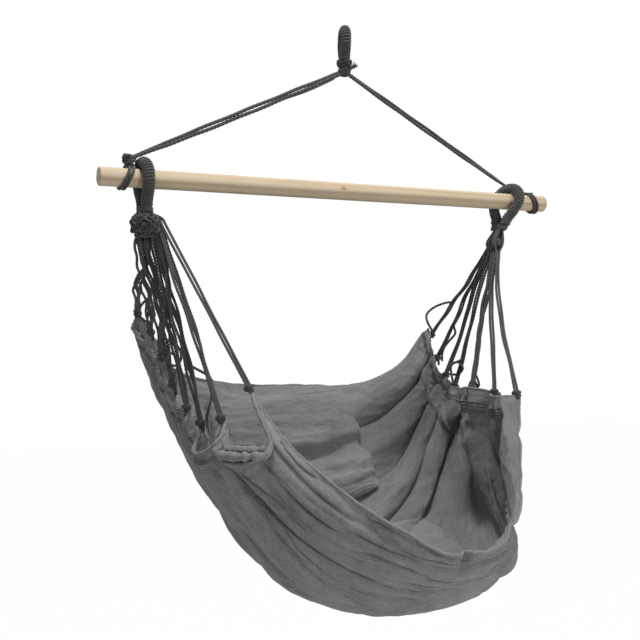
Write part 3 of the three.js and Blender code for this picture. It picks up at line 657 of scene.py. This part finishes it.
def hill(x, width):
    """1 at zero, and falling away smoothly on both sides"""
    return np.exp(-((x / width) ** 2))


def fold_lines(s):
    """Depth shares of the lines between the folds, at shares of the length"""
    from_right, *lines = right_fold_lines.T
    return np.stack([np.interp(1 - s, from_right, line) for line in lines], -1)


def cloth_place(s, t):
    """Point of the folded cloth, and the directions out of the bowl and across it there"""
    probe = 1e-3
    base = bowl(s, t)
    lengthwise = unit(bowl(np.minimum(s + probe, 1), t) - bowl(np.maximum(s - probe, 0), t))
    widthwise = unit(bowl(s, np.minimum(t + probe, 1)) - bowl(s, np.maximum(t - probe, 0)))
    out = unit(np.cross(lengthwise, widthwise))
    from_right = 1 - s
    left_fold = (np.clip(t, 0, 1 - 1e-9) * folds).astype(int)
    left_in = t * folds - left_fold
    ends = fold_lines(s)
    right_fold = (t[:, None] >= ends[:, 1:-1]).sum(1)
    row = np.arange(len(t))
    start = ends[row, right_fold]
    right_in = np.clip((t - start) / (ends[row, right_fold + 1] - start), 0, 1)
    fade = lambda from_end, reach: np.maximum(0, 1 - (from_end / reach) ** 2) ** 1.7
    edge = lambda from_end: hill(from_end, scallop_reach_share)
    left_fade, right_fade = fade(s, left_reach_share), fade(from_right, right_reach_shares[right_fold])
    tight = right_hem_shares[right_fold] + (1 - right_hem_shares[right_fold]) * smooth_step(from_right / 0.13)
    left_wave, right_wave = np.sin(np.pi * left_in), np.sin(np.pi * right_in)
    depth = (left_fold_depth * left_fold_shares[left_fold] * left_fade * left_wave ** 0.8
             - right_fold_depth * tight * right_fold_shares[right_fold] * right_fade * right_wave ** 0.55)
    inwards = (left_scallop * left_scallop_shares[left_fold] * edge(s) * left_wave ** 0.45
               - right_scallop * right_scallop_shares[right_fold] * edge(from_right) * right_wave ** 0.8)
    lap = (left_lap * left_fold_shares[left_fold] * np.sin(2 * np.pi * left_in) * left_fade
           + right_lap * np.sin(2 * np.pi * right_in) * right_fade)
    in_pouch = (left_fold == folds - 1) * edge(s)
    drop, slip = [in_pouch * (spline_weights(left_in, len(shift)) @ shift)
                  for shift in (pouch_drop, pouch_slip)]
    place = (base + out * depth[:, None] + lengthwise * (inwards + slip)[:, None] - widthwise * lap[:, None]
             - np.outer(drop, (0, 0, 1)))
    return place, out, widthwise


length_steps = 196
steps_per_fold = 33
crowding_share = 0.7  # how much closer the rows of points lie at the ends
even = np.linspace(0, 1, length_steps + 1)
cloth_s = even - crowding_share * np.sin(2 * np.pi * even) / (2 * np.pi)
cloth_t = np.linspace(0, folds, folds * steps_per_fold + 1)
grid_s = np.repeat(cloth_s, len(cloth_t))
grid_t = np.concatenate([np.interp(cloth_t, np.arange(folds + 1), lines) for lines in fold_lines(cloth_s)])
flat_points, flat_out, flat_across = cloth_place(grid_s, grid_t)
grid_shape = (len(cloth_s), len(cloth_t))


def smooth_noise(s, t, scale_s, scale_t, seed):
    """Soft random hills over the cloth, about 1 high, with their own length and width"""
    rng = np.random.default_rng(seed)
    value = np.zeros(len(s))
    for _ in range(14):
        a, b = rng.normal(size=2)
        value += np.cos(2 * np.pi * (a * s / scale_s + b * t / scale_t) + rng.uniform(0, 2 * np.pi))
    return value / 14**0.5


def ridges(sharpness, *where):
    """Thin random ridges, 1 high"""
    return np.exp(-sharpness * np.abs(smooth_noise(*where)))


# Sharp creases along the pull, soft hills, and small puckers where the hems are sewn
cloth_length = 1.12
hem_depth = 0.055
from_left, from_right = grid_s * cloth_length, (1 - grid_s) * cloth_length
slack = smooth_step(from_left / 0.25) * smooth_step(from_right / 0.25)
pull = 0.5 + 0.5 * smooth_step(1 - slack)
rows_of_thread = (0.022, 0.027, 0.032)
creases = (-0.0075 * ridges(2.6, grid_s, grid_t, 0.60, 0.11, 3) * pull
           - 0.0034 * ridges(3.0, grid_s, grid_t, 0.33, 0.07, 11)
           + 0.0042 * smooth_noise(grid_s, grid_t, 0.42, 0.14, 5)
           + 0.0007 * smooth_noise(grid_s, grid_t, 0.05, 0.04, 8))
front_slack = smooth_step((grid_t - 0.72) / 0.2) * slack
creases += -0.0125 * front_slack * ridges(2.2, grid_s, grid_t, 0.42, 0.055, 21)
ruck = np.sin(2 * np.pi * (grid_t * 62 + 0.5 * smooth_noise(grid_s, grid_t, 0.5, 0.06, 9)))
hem_pull = hill(from_left - hem_depth, 0.03) + 0.6 * hill(from_left, 0.02)
creases += 0.0021 * ruck * hem_pull
right_ruck = np.sin(2 * np.pi * (grid_t * 49 + 0.4 * smooth_noise(grid_s, grid_t, 0.5, 0.08, 14)))
creases += 0.0010 * right_ruck * hill(from_right - hem_depth, 0.022)
stitch_sink, stitch_width = 0.0016, 0.0017
for row_place in rows_of_thread:
    for from_end in (from_left, from_right):
        creases -= stitch_sink * hill(from_end - row_place, stitch_width)
cloth_points = flat_points + flat_out * creases[:, None]

# A tuck in the front hem, and the low corner that the slack cloth makes beneath it
tuck_place, corner_place = 0.552, (0.70, 0.86)
tuck_rise, tuck_sink, corner_sag = 0.016, 0.011, 0.011
tuck = hill(grid_s - tuck_place, 0.010) * smooth_step((grid_t - 0.90) / 0.1)
cloth_points += -flat_across * (tuck_rise * tuck)[:, None] - flat_out * (tuck_sink * tuck)[:, None]
corner = np.exp(-((grid_s - corner_place[0]) / 0.07) ** 2 - ((grid_t - corner_place[1]) / 0.055) ** 2)
cloth_points += flat_out * (corner_sag * corner)[:, None]


def simulate(points, faces, frames, growth, stiff, still=(), falls=0.0, pressure=0.0):
    """Lets a mesh hang or swell as cloth for some frames, and gives its points then"""
    trial = new_piece("trial", points, faces.tolist())
    trial.vertex_groups.new(name="held").add([int(i) for i in still], 1.0, "REPLACE")
    cloth = trial.modifiers.new("cloth", "CLOTH")
    rules = cloth.settings
    rules.quality = 5
    rules.mass = 0.3
    rules.tension_stiffness = rules.compression_stiffness = stiff
    rules.shear_stiffness = stiff / 3
    rules.bending_stiffness = 0.35
    rules.shrink_min = rules.shrink_max = -growth
    rules.effector_weights.gravity = falls
    rules.vertex_group_mass = "held" if len(still) else ""
    if pressure:
        rules.use_pressure = True
        rules.uniform_pressure_force = pressure
    cloth.collision_settings.use_collision = False
    for number in range(1, frames + 1):
        bpy.context.scene.frame_set(number)
    shown = trial.evaluated_get(bpy.context.evaluated_depsgraph_get())
    after = np.empty(len(points) * 3)
    shown.data.vertices.foreach_get("co", after)
    mesh = trial.data
    bpy.data.objects.remove(trial)
    bpy.data.meshes.remove(mesh)
    bpy.context.scene.frame_set(1)
    return after.reshape(-1, 3)


def capped(shift, limit):
    """Shortens long shifts softly to a limit"""
    size = np.linalg.norm(shift, axis=1, keepdims=True) + 1e-12
    return shift / size * limit * np.tanh(size / limit)


def grid_faces(rows, columns):
    i, j = np.meshgrid(np.arange(rows - 1), np.arange(columns - 1), indexing="ij")
    a = i * columns + j
    return np.stack([a, a + columns, a + columns + 1, a + 1], -1).reshape(-1, 4)


def blurred_between(coarse, rows, columns):
    """Values of a coarse grid at each line of a finer one that it shares its ends with"""
    across = spline_weights(np.linspace(0, 1, rows), coarse.shape[0])
    along = spline_weights(np.linspace(0, 1, columns), coarse.shape[1])
    return np.einsum("ra,cb,abk->rck", across, along, coarse)


rows, columns = grid_shape
coarse = cloth_points.reshape(rows, columns, 3)[::2, ::3]
order = np.arange(coarse.shape[0] * coarse.shape[1]).reshape(coarse.shape[:2])
hems = np.concatenate([order[:5].ravel(), order[-5:].ravel()])
before = coarse.reshape(-1, 3)
after = simulate(before, grid_faces(*coarse.shape[:2]), 24, 0.05, 15.0, still=hems, falls=0.6)
shift = capped(after - before, 0.011).reshape(coarse.shape)
cloth_points = cloth_points + blurred_between(shift, rows, columns).reshape(-1, 3)


def cloth_piece(name, points):
    """Mesh of the cloth, with its own length and width as coordinates"""
    grid = points.reshape(*grid_shape, 3)
    step = lambda axis: np.linalg.norm(np.diff(grid, axis=axis), axis=-1)
    run = lambda axis: np.concatenate([np.zeros_like(np.take(grid[..., 0], [0], axis)),
                                       np.cumsum(step(axis), axis)], axis)
    uv = np.stack([run(0), run(1)], -1).reshape(-1, 2)
    faces = grid_faces(*grid_shape)
    return new_piece(name, points, faces.tolist(), "weave", uv[faces])


def cloth_finish(name, shade):
    """Plain-woven cotton: over and under threads, slubs, and a faintly faded, mottled grey"""
    material, tree = new_finish(name, 0.9, 0.15, 0.5)
    place = new_node(tree, "ShaderNodeUVMap", uv_map="weave").outputs[0]
    warp, weft = [texture(tree, "Wave", place, bands_direction=way, Scale=300, Distortion=0.6, Detail=1)
                  for way in "XY"]
    fleck = texture(tree, "Noise", place, Scale=330, Detail=4, Roughness=0.85)
    slubs = texture(tree, "Noise", mapped(tree, place, Scale=(45, 620, 300)), Scale=1, Detail=2)
    fade = texture(tree, "Noise", place, Scale=9, Detail=4, Roughness=0.65)
    tone = math_node(tree, "MULTIPLY", fleck, 0.62)
    tone = math_node(tree, "MULTIPLY_ADD", slubs, 0.25, tone)
    tone = math_node(tree, "MULTIPLY_ADD", fade, 0.25, tone)
    colour = ramp_colour(tree, tone, (0.42, (shade * 0.42, shade * 0.43, shade * 0.43)),
                         (0.70, (shade * 1.62, shade * 1.65, shade * 1.62)))
    weave = math_node(tree, "MAXIMUM", warp, weft)
    set_surface(tree, colour, math_node(tree, "MULTIPLY_ADD", fleck, 1.2, weave), 0.5, 0.0006)
    return material


def with_modifier(piece, kind, **settings):
    """Adds a modifier to a piece and applies it"""
    bpy.context.view_layer.objects.active = piece
    piece.select_set(True)
    modifier = piece.modifiers.new(kind.lower(), kind)
    for name, value in settings.items():
        setattr(modifier, name, value)
    bpy.ops.object.modifier_apply(modifier=modifier.name)
    piece.select_set(False)


grey_cloth = cloth_finish("grey_cloth", 0.150)
seat_cloth = cloth_piece("hung_cloth", cloth_points)
with_modifier(seat_cloth, "SOLIDIFY", thickness=cloth_thickness, offset=0)
dress(seat_cloth, grey_cloth, "seat", "grey_cloth", "seat_cloth")

# Hems of the cloth
# The long edges are rolled and sewn. The gathered ends are rolled over a cord, so their rims stand thick
# and puckered. Three rows of thread run round each end below its rim, and one thread has a loose loop.
final = cloth_points.reshape(*grid_shape, 3)
hem_out = flat_out.reshape(*grid_shape, 3)
pouch_start = (folds - 1) * steps_per_fold
pouch = final[0, pouch_start + 5:-6] + hem_out[0, pouch_start + 5:-6] * 0.006
pouch_back = final[3, pouch_start + 9:-9] - hem_out[3, pouch_start + 9:-9] * 0.012 + (0, 0, 0.011)
hem_step = 0.0026
hem_tubes = []
for edge_points, radius, wrinkle in ((final[:, -1], 0.0030, 0.06), (final[:, 0], 0.0028, 0.06),
                                     (final[0], 0.0034, 0.22), (final[-1], 0.0022, 0.10),
                                     (pouch, 0.0068, 0.20), (pouch_back, 0.0072, 0.18)):
    line = evenly(edge_points, hem_step)
    run = np.arange(len(line)) * hem_step
    swell = (1 + 0.6 * wrinkle * np.sin(run / 0.0024 + 2 * np.sin(run / 0.011))
             + wrinkle * np.sin(run / 0.0064 + 2.6 * np.sin(run / 0.015)))
    ends = np.minimum(run, run[-1] - run)
    swell *= np.clip(0.35 + ends / 0.02, 0, 1)
    hem_tubes.append(tube(line, radius, 12, 0, swell))
rolled = skin("rolled_hems", hem_tubes, "weave")
dress(rolled, grey_cloth, "seat", "grey_cloth")


def on_cloth(row_from_end, column, lift):
    """Points at distances from an end of the finished cloth and column shares, a little off its face"""
    length = np.abs(row_from_end) / cloth_length
    s_at = np.where(row_from_end >= 0, length, 1 - length)
    row = np.interp(s_at, cloth_s, np.arange(len(cloth_s)))
    col = column * (len(cloth_t) - 1)
    i, j = np.minimum(row.astype(int), len(cloth_s) - 2), np.minimum(col.astype(int), len(cloth_t) - 2)
    f, g = (row - i)[:, None], (col - j)[:, None]
    mix = lambda grid: ((1 - f) * (1 - g) * grid[i, j] + f * (1 - g) * grid[i + 1, j]
                        + (1 - f) * g * grid[i, j + 1] + f * g * grid[i + 1, j + 1])
    return mix(final) + unit(mix(hem_out)) * lift


thread = cord_finish("hem_thread", 0.03, 1.6)
thread_lift = cloth_thickness / 2 + 0.0002
column = np.linspace(0.004, 0.996, 900)
stitch_tubes = []
for from_end in (*rows_of_thread, *[-row for row in rows_of_thread]):
    for face in (-1, 1):
        line = on_cloth(0 * column + from_end, column, face * thread_lift)
        stitch_tubes.append(tube(evenly(line, 0.0022), 0.0010, 5))
loop_of_thread = [on_cloth(np.array([distance]), np.array([across]), lift)[0] for distance, across, lift in (
    (0.05, 0.93, -0.004), (0.075, 0.90, -0.024), (0.10, 0.86, -0.034), (0.13, 0.83, -0.016))]
stitch_tubes.append(tube(smooth_route(loop_of_thread, 0.002), 0.0007, 5))
stitches = skin("hem_stitches", stitch_tubes)
dress(stitches, thread, "seat", "grey_cloth")

# Clews and suspension cords
# Doubled cords, eight a side, leave a knotted clew under each eye and end in knots at the hem. At the left
# they spread early, slack and tangled. At the right they keep closer, and some have sprung loose in loops.
cord_radius = 0.0028
clew_height = 0.048
clew_top = -eye_depth - gap - eye_seizing_height - gap
clew_foot = clew_top - clew_height
fans = {  # side: clew's half width along the bar, its half depth, cord pitch, spacing of a cord's two legs
    "left": (0.027, 0.042, 0.010, 0.020),
    "right": (0.016, 0.024, 0.0057, 0.009),
}
cords_per_side = 8
hem_leg_spacing = 0.006
throat_half = (0.006, 0.011)
hem_knot_size, under_knot_size = 0.0078, 0.0066
slack_mm = {"left": [12, 11, 9, 9, 8, 8, 4, 1], "right": [5, 5, 4, 4, 5, 4, 3, 3]}
bundle_mm = {"left": [0, 4, 3, 2, 0, 3, 0, 0], "right": [6, 8, 10, 8, 2, 4, 12, 18]}
sprung_mm = {  # side: loops of slack of some cords, as places across and up from the hem knot
    "left": {1: [(0, 70), (-12, 50), (-10, 28), (4, 20), (10, 34), (2, 46), (-4, 20), (0, 0)],
             3: [(4, 90), (16, 70), (18, 46), (6, 34), (-6, 44), (0, 58), (10, 40), (4, 14), (0, 0)],
             5: [(2, 100), (14, 80), (20, 56), (16, 30), (10, 10), (12, -8)]},
    "right": {0: [(40, 74), (22, 72), (0, 62), (-15, 46), (-14, 28), (-3, 12), (2, 2)],
              1: [(34, 100), (31, 76), (36, 56), (28, 40), (14, 24), (9, 8), (11, -8)],
              3: [(0, 60), (-14, 44), (-22, 30), (-8, 24), (8, 26), (14, 40), (4, 52), (-8, 42), (-6, 12),
                  (0, 0)],
              4: [(2, 46), (12, 38), (16, 22), (6, 12), (-6, 16), (-4, 30), (6, 34), (14, 14), (6, 0)]},
}
legs = (-1, 1)              # sides of a cord's middle line
tangled_strands = (0, 0.4)  # two more strands between the legs of a tangled cord
across_view = np.array([0.9, -0.437, 0])
away = np.array([0.437, 0.9, 0])
# Painted shade: the clews get a darker copy of the charcoal cord, standing in for the shade they hang in,
# though they are the same cord
painted_shade_clew_charcoal = cord_finish("painted_shade_clew_charcoal", 0.016, 1.9)


def sprung_out(cord_line, knot, loop, lead):
    """Line of a loop of slack that leaves a cord above its knot, from places across and up in mm"""
    start = cord_line[np.argmin(np.abs(cord_line[:, 2] - knot[2] - loop[0][1] / 1000))]
    left = 1 - np.arange(1, len(loop)) / (len(loop) - 1)
    curl = 0.016 * np.sin(np.pi * left) * np.cos(1.5 * len(loop) * left + lead)
    depth = (start - knot) @ away * left + curl
    across, up = np.array(loop[1:]).T / 1000
    return smooth_route(np.vstack([start, knot + np.outer(across, across_view) + np.outer(up, (0, 0, 1))
                                   + np.outer(depth, away)]), 0.001)


for side, (half_wide, half_deep, pitch, spread) in fans.items():
    at_left = side == "left"
    centre, sign, foot_lean = eye_frames[side]
    settle = lambda points: leaning(points, sign, foot_lean) + centre
    settled = lambda *place: settle([place])[0]
    rng = np.random.default_rng(31 if at_left else 37)
    strands = []
    share = np.linspace(0, 1, 34)
    fullness = np.sin(np.minimum(share * 1.9 + 0.24, 1.75) * math.pi / 2 / 1.15)
    z = clew_top + 0.003 + (clew_foot - clew_top) * share
    for hand in (-1, 1) if at_left else ():
        for k in range(11):
            angle = 2 * np.pi * k / 11 + hand * share * 2.6 + rng.uniform(-0.1, 0.1)
            bulge = fullness * (0.88 + 0.06 * hand * np.cos(5.5 * angle) + 0.04 * np.sin(19 * share + k))
            strands.append(settle(np.stack([half_wide * bulge * np.cos(angle),
                                            half_deep * bulge * np.sin(angle), z], 1)))
    for k in range(9 if at_left else 2):
        at = rng.uniform(0, 2 * np.pi)
        low = rng.uniform(0.2, 0.8)
        place = np.array([half_wide * 0.74 * math.cos(at), half_deep * 0.76 * math.sin(at),
                          clew_top - clew_height * low])
        strands.append(settle(overhand(place, 0.0085 if at_left else 0.006,
                                       (math.cos(at), math.sin(at), 0.3), k, 0.5)))
    fill_radius = (half_wide - 2.6 * cord_radius) * (1 if at_left else 0.55)
    fill = settle(np.stack([0 * share, 0 * share, z], 1))
    taper = fullness if at_left else np.minimum(1, 4 * (1 - share) + 0.1)
    rings, run, girth = tube(fill, fill_radius, 16, 0, taper)
    rings = fill[:, None, :] + (rings - fill[:, None, :]) * (1, half_deep / half_wide, 1)
    # The clew is dressed in the cord darkened with painted shade
    cord_piece(f"{side}_knotted_clew", rope(*strands, radius=cord_radius) + [(rings, run, girth)],
               "seat", f"{side}_clew", material=painted_shade_clew_charcoal)

    foot = settled(0, 0, clew_foot)
    hem_s = np.full(cords_per_side, 0.0 if at_left else 1.0)
    hem_points = cloth_place(hem_s, np.arange(cords_per_side) / folds)[0]
    mid_hem = hem_points.mean(0)
    for k in range(cords_per_side):
        row = (3.5 - k) * pitch
        top = foot + (0, row, -gap)
        rise = unit(top - hem_points[k])
        knot = hem_points[k] + rise * 0.004
        tangled = at_left and k < 7
        lines = []
        for leg in legs + tangled_strands if tangled else legs:
            around = math.atan2(row / half_deep, leg * spread / 2 / half_wide) + (0.5 if leg > 0 else -0.5)
            throat_at = settled(throat_half[0] * math.cos(around), throat_half[1] * math.sin(around),
                                clew_top)
            bulge_at = settled(half_wide * 0.9 * math.cos(around), half_deep * 0.9 * math.sin(around),
                               clew_top - clew_height * (0.45 if at_left else 0.6))
            start = top + (leg * spread / 2, 0, 0)
            if at_left and k > 3:  # the front cords leave the clew at its side
                aside = across_view * (0.012 + 0.005 * (k - 4) + 0.003 * leg)
                bulge_at = settled(*aside[:2], clew_top - clew_height * 0.2)
                start = settled(*aside[:2] * 1.25, clew_top - clew_height * (0.75 - 0.1 * (k - 4)))
            end = knot + (leg * hem_leg_spacing / 2, 0, 0.002)
            share = np.linspace(0, 1, 60)
            if at_left:
                line = blend(start, end, share)
            else:  # the two legs of a cord lie side by side
                apart = np.maximum(spread / 2 * (1 - share / 0.3), cord_radius)
                line = blend(top, knot, share)
                swung = across_view + np.outer(np.sin(9 * share + k), (0, 0.7, 0))
                line += leg * apart[:, None] * unit(swung)
            wave = np.sin(np.pi * share) * slack_mm[side][k] / 1000
            phase = 1.7 * k + (0.9 if at_left else 0.12) * leg
            wave *= 1.4 if leg in tangled_strands and k > 1 else 1
            line[:, 0] += wave * (0.6 * np.sin(7 * share + phase) + 0.35 * np.sin(19 * share + phase * 2))
            line[:, 1] += wave * (0.7 * np.cos(6 * share + phase) + 0.35 * np.sin(15 * share + phase))
            towards = mid_hem - line
            towards[:, 2] = 0
            gather = bundle_mm[side][k] / 1000 * np.sin(np.pi * share) ** 1.3
            line += unit(towards) * gather[:, None]
            upper = smooth_route([throat_at, bulge_at, line[0], line[3]], 0.002)
            lines.append(np.vstack([upper[:-1], line[3:]]))
        lines.append(overhand(knot, hem_knot_size, rise + (0.3, 0.2, 0), 1.3 * k))
        lines.append(overhand(knot - rise * 0.004, under_knot_size, (0.9, -0.3, 0.4), 0.7 * k, 0.5))
        hang = knot + across_view * (0.004 if k % 2 else -0.004) - rise * 0.004
        cut_end = hang + (0.003 - 0.002 * (k % 3), 0, -0.013 - 0.002 * (k % 4))
        lines.append(smooth_route([knot, hang, cut_end], 0.001))
        if k in sprung_mm[side]:
            lines.append(sprung_out(line, knot, sprung_mm[side][k], k))
        cord_piece(f"{side}_doubled_cord_{k + 1}", rope(*lines, radius=cord_radius), "seat",
                   f"{side}_cord_{k + 1}")

# Cushions
# Two loose cushions of the same grey cloth, stuffed with soft fibre. The back one has slumped, and creases
# across; the seat one is flattened and fuller in the middle.
cushions = {
    "back_cushion": {"crown": 0.052, "clearance": 0.004, "waist": 0.06, "crease": 0.72,
                     "corners": [[0.29, 0.07], [0.61, 0.02], [0.32, 0.31], [0.6, 0.29]]},
    "seat_cushion": {"crown": 0.044, "clearance": 0.007, "waist": -0.1, "crease": 0.0,
                     "corners": [[0.33, 0.37], [0.66, 0.38], [0.35, 0.73], [0.65, 0.73]]},
}
cushion_edge = 0.008
crease_place_share = 0.56
corner_round = 0.20
notch_depth_share, notch_place, notch_width = 0.17, 0.20, 0.13  # where the crease runs out of the right edge
cushion_steps = 72
cover_size = (0.42, 0.36)  # of the flat cover, in metres
cushion_cloth = cloth_finish("cushion_cloth", 0.160)
for node, size in cushions.items():
    line = np.sin(np.pi * (np.linspace(0, 1, cushion_steps + 1) - 0.5))
    u, v = [a.ravel() for a in np.meshgrid(line, line, indexing="ij")]
    ru, rv = u * np.sqrt(1 - corner_round * v * v), v * np.sqrt(1 - corner_round * u * u)
    ru = ru * (1 - notch_depth_share * size["crease"] * (u > 0) * hill(v - notch_place, notch_width))
    across = (1 + ru * (1 - size["waist"] * (1 - v * v))) / 2
    down = (1 + rv * (1 - size["waist"] * (1 - u * u))) / 2
    corner = np.array(size["corners"])
    st = blend(blend(corner[0], corner[1], across), blend(corner[2], corner[3], across), down)
    foot, out = cloth_place(st[:, 0], st[:, 1])[:2]
    below_crease = down - crease_place_share - 0.16 * (1 - across)
    crease = size["crease"] * hill(below_crease, np.where(below_crease < 0, 0.03, 0.14))
    fat = np.sqrt(np.maximum(0, (1 - u**2) * (1 - v**2))) * (1 - crease)
    folds_across = (0.13 * ridges(4.0, across * 0.9 + 0.2 * down, down, 1.3, 0.16, 40)
                    + 0.07 * smooth_noise(across, down, 0.9, 0.22, 41)
                    + 0.10 * ridges(4.0, across, down, 0.4, 0.10, 43))
    fat = np.clip(fat - folds_across * fat**0.5, 0, 1)
    low = foot - out * (size["clearance"] + (cushion_edge / 2) * (1 - fat) ** 4)[:, None]
    high = foot - out * (size["clearance"] + cushion_edge / 2 + (size["crown"] - cushion_edge / 2) * fat
                         + (cushion_edge / 2) * (1 - (1 - fat) ** 4))[:, None]
    n = cushion_steps + 1
    order = np.arange(n * n).reshape(n, n)
    below = order.copy()
    inner = order[1:-1, 1:-1].ravel()
    below[1:-1, 1:-1] = np.arange(len(inner)).reshape(n - 2, n - 2) + n * n
    high_grid, low_grid = high.reshape(n, n, 3), low.reshape(n, n, 3)
    for rims in (([0, -1],), (slice(None), [0, -1])):
        high_grid[rims] = (high_grid[rims] + low_grid[rims]) / 2
    points = np.vstack([high, low[inner]])
    quad = lambda g: np.stack([g[:-1, :-1], g[1:, :-1], g[1:, 1:], g[:-1, 1:]], -1).reshape(-1, 4)
    faces = np.vstack([quad(order)[:, ::-1], quad(below)])
    after = simulate(points, faces, 20, 0.09, 8.0, pressure=1.6)
    points = points + capped(after - points, 0.007)
    flat_uv = np.stack([across, down], 1) * cover_size
    flat_uv = np.vstack([flat_uv, flat_uv[inner]])
    piece = new_piece(f"stuffed_{node}", points, faces.tolist(), "weave", flat_uv[faces])
    with_modifier(piece, "SUBSURF", levels=1, render_levels=1)
    dress(piece, cushion_cloth, node, "cushion_cloth", node)

    rim = np.concatenate([order[0], order[1:, -1], order[-1, -2::-1], order[-2::-1, 0]])
    welt = skin(f"{node}_seam", [tube(evenly(points[rim], 0.003), 0.0018, 8)])
    dress(welt, grey_cloth, node, "cushion_cloth")
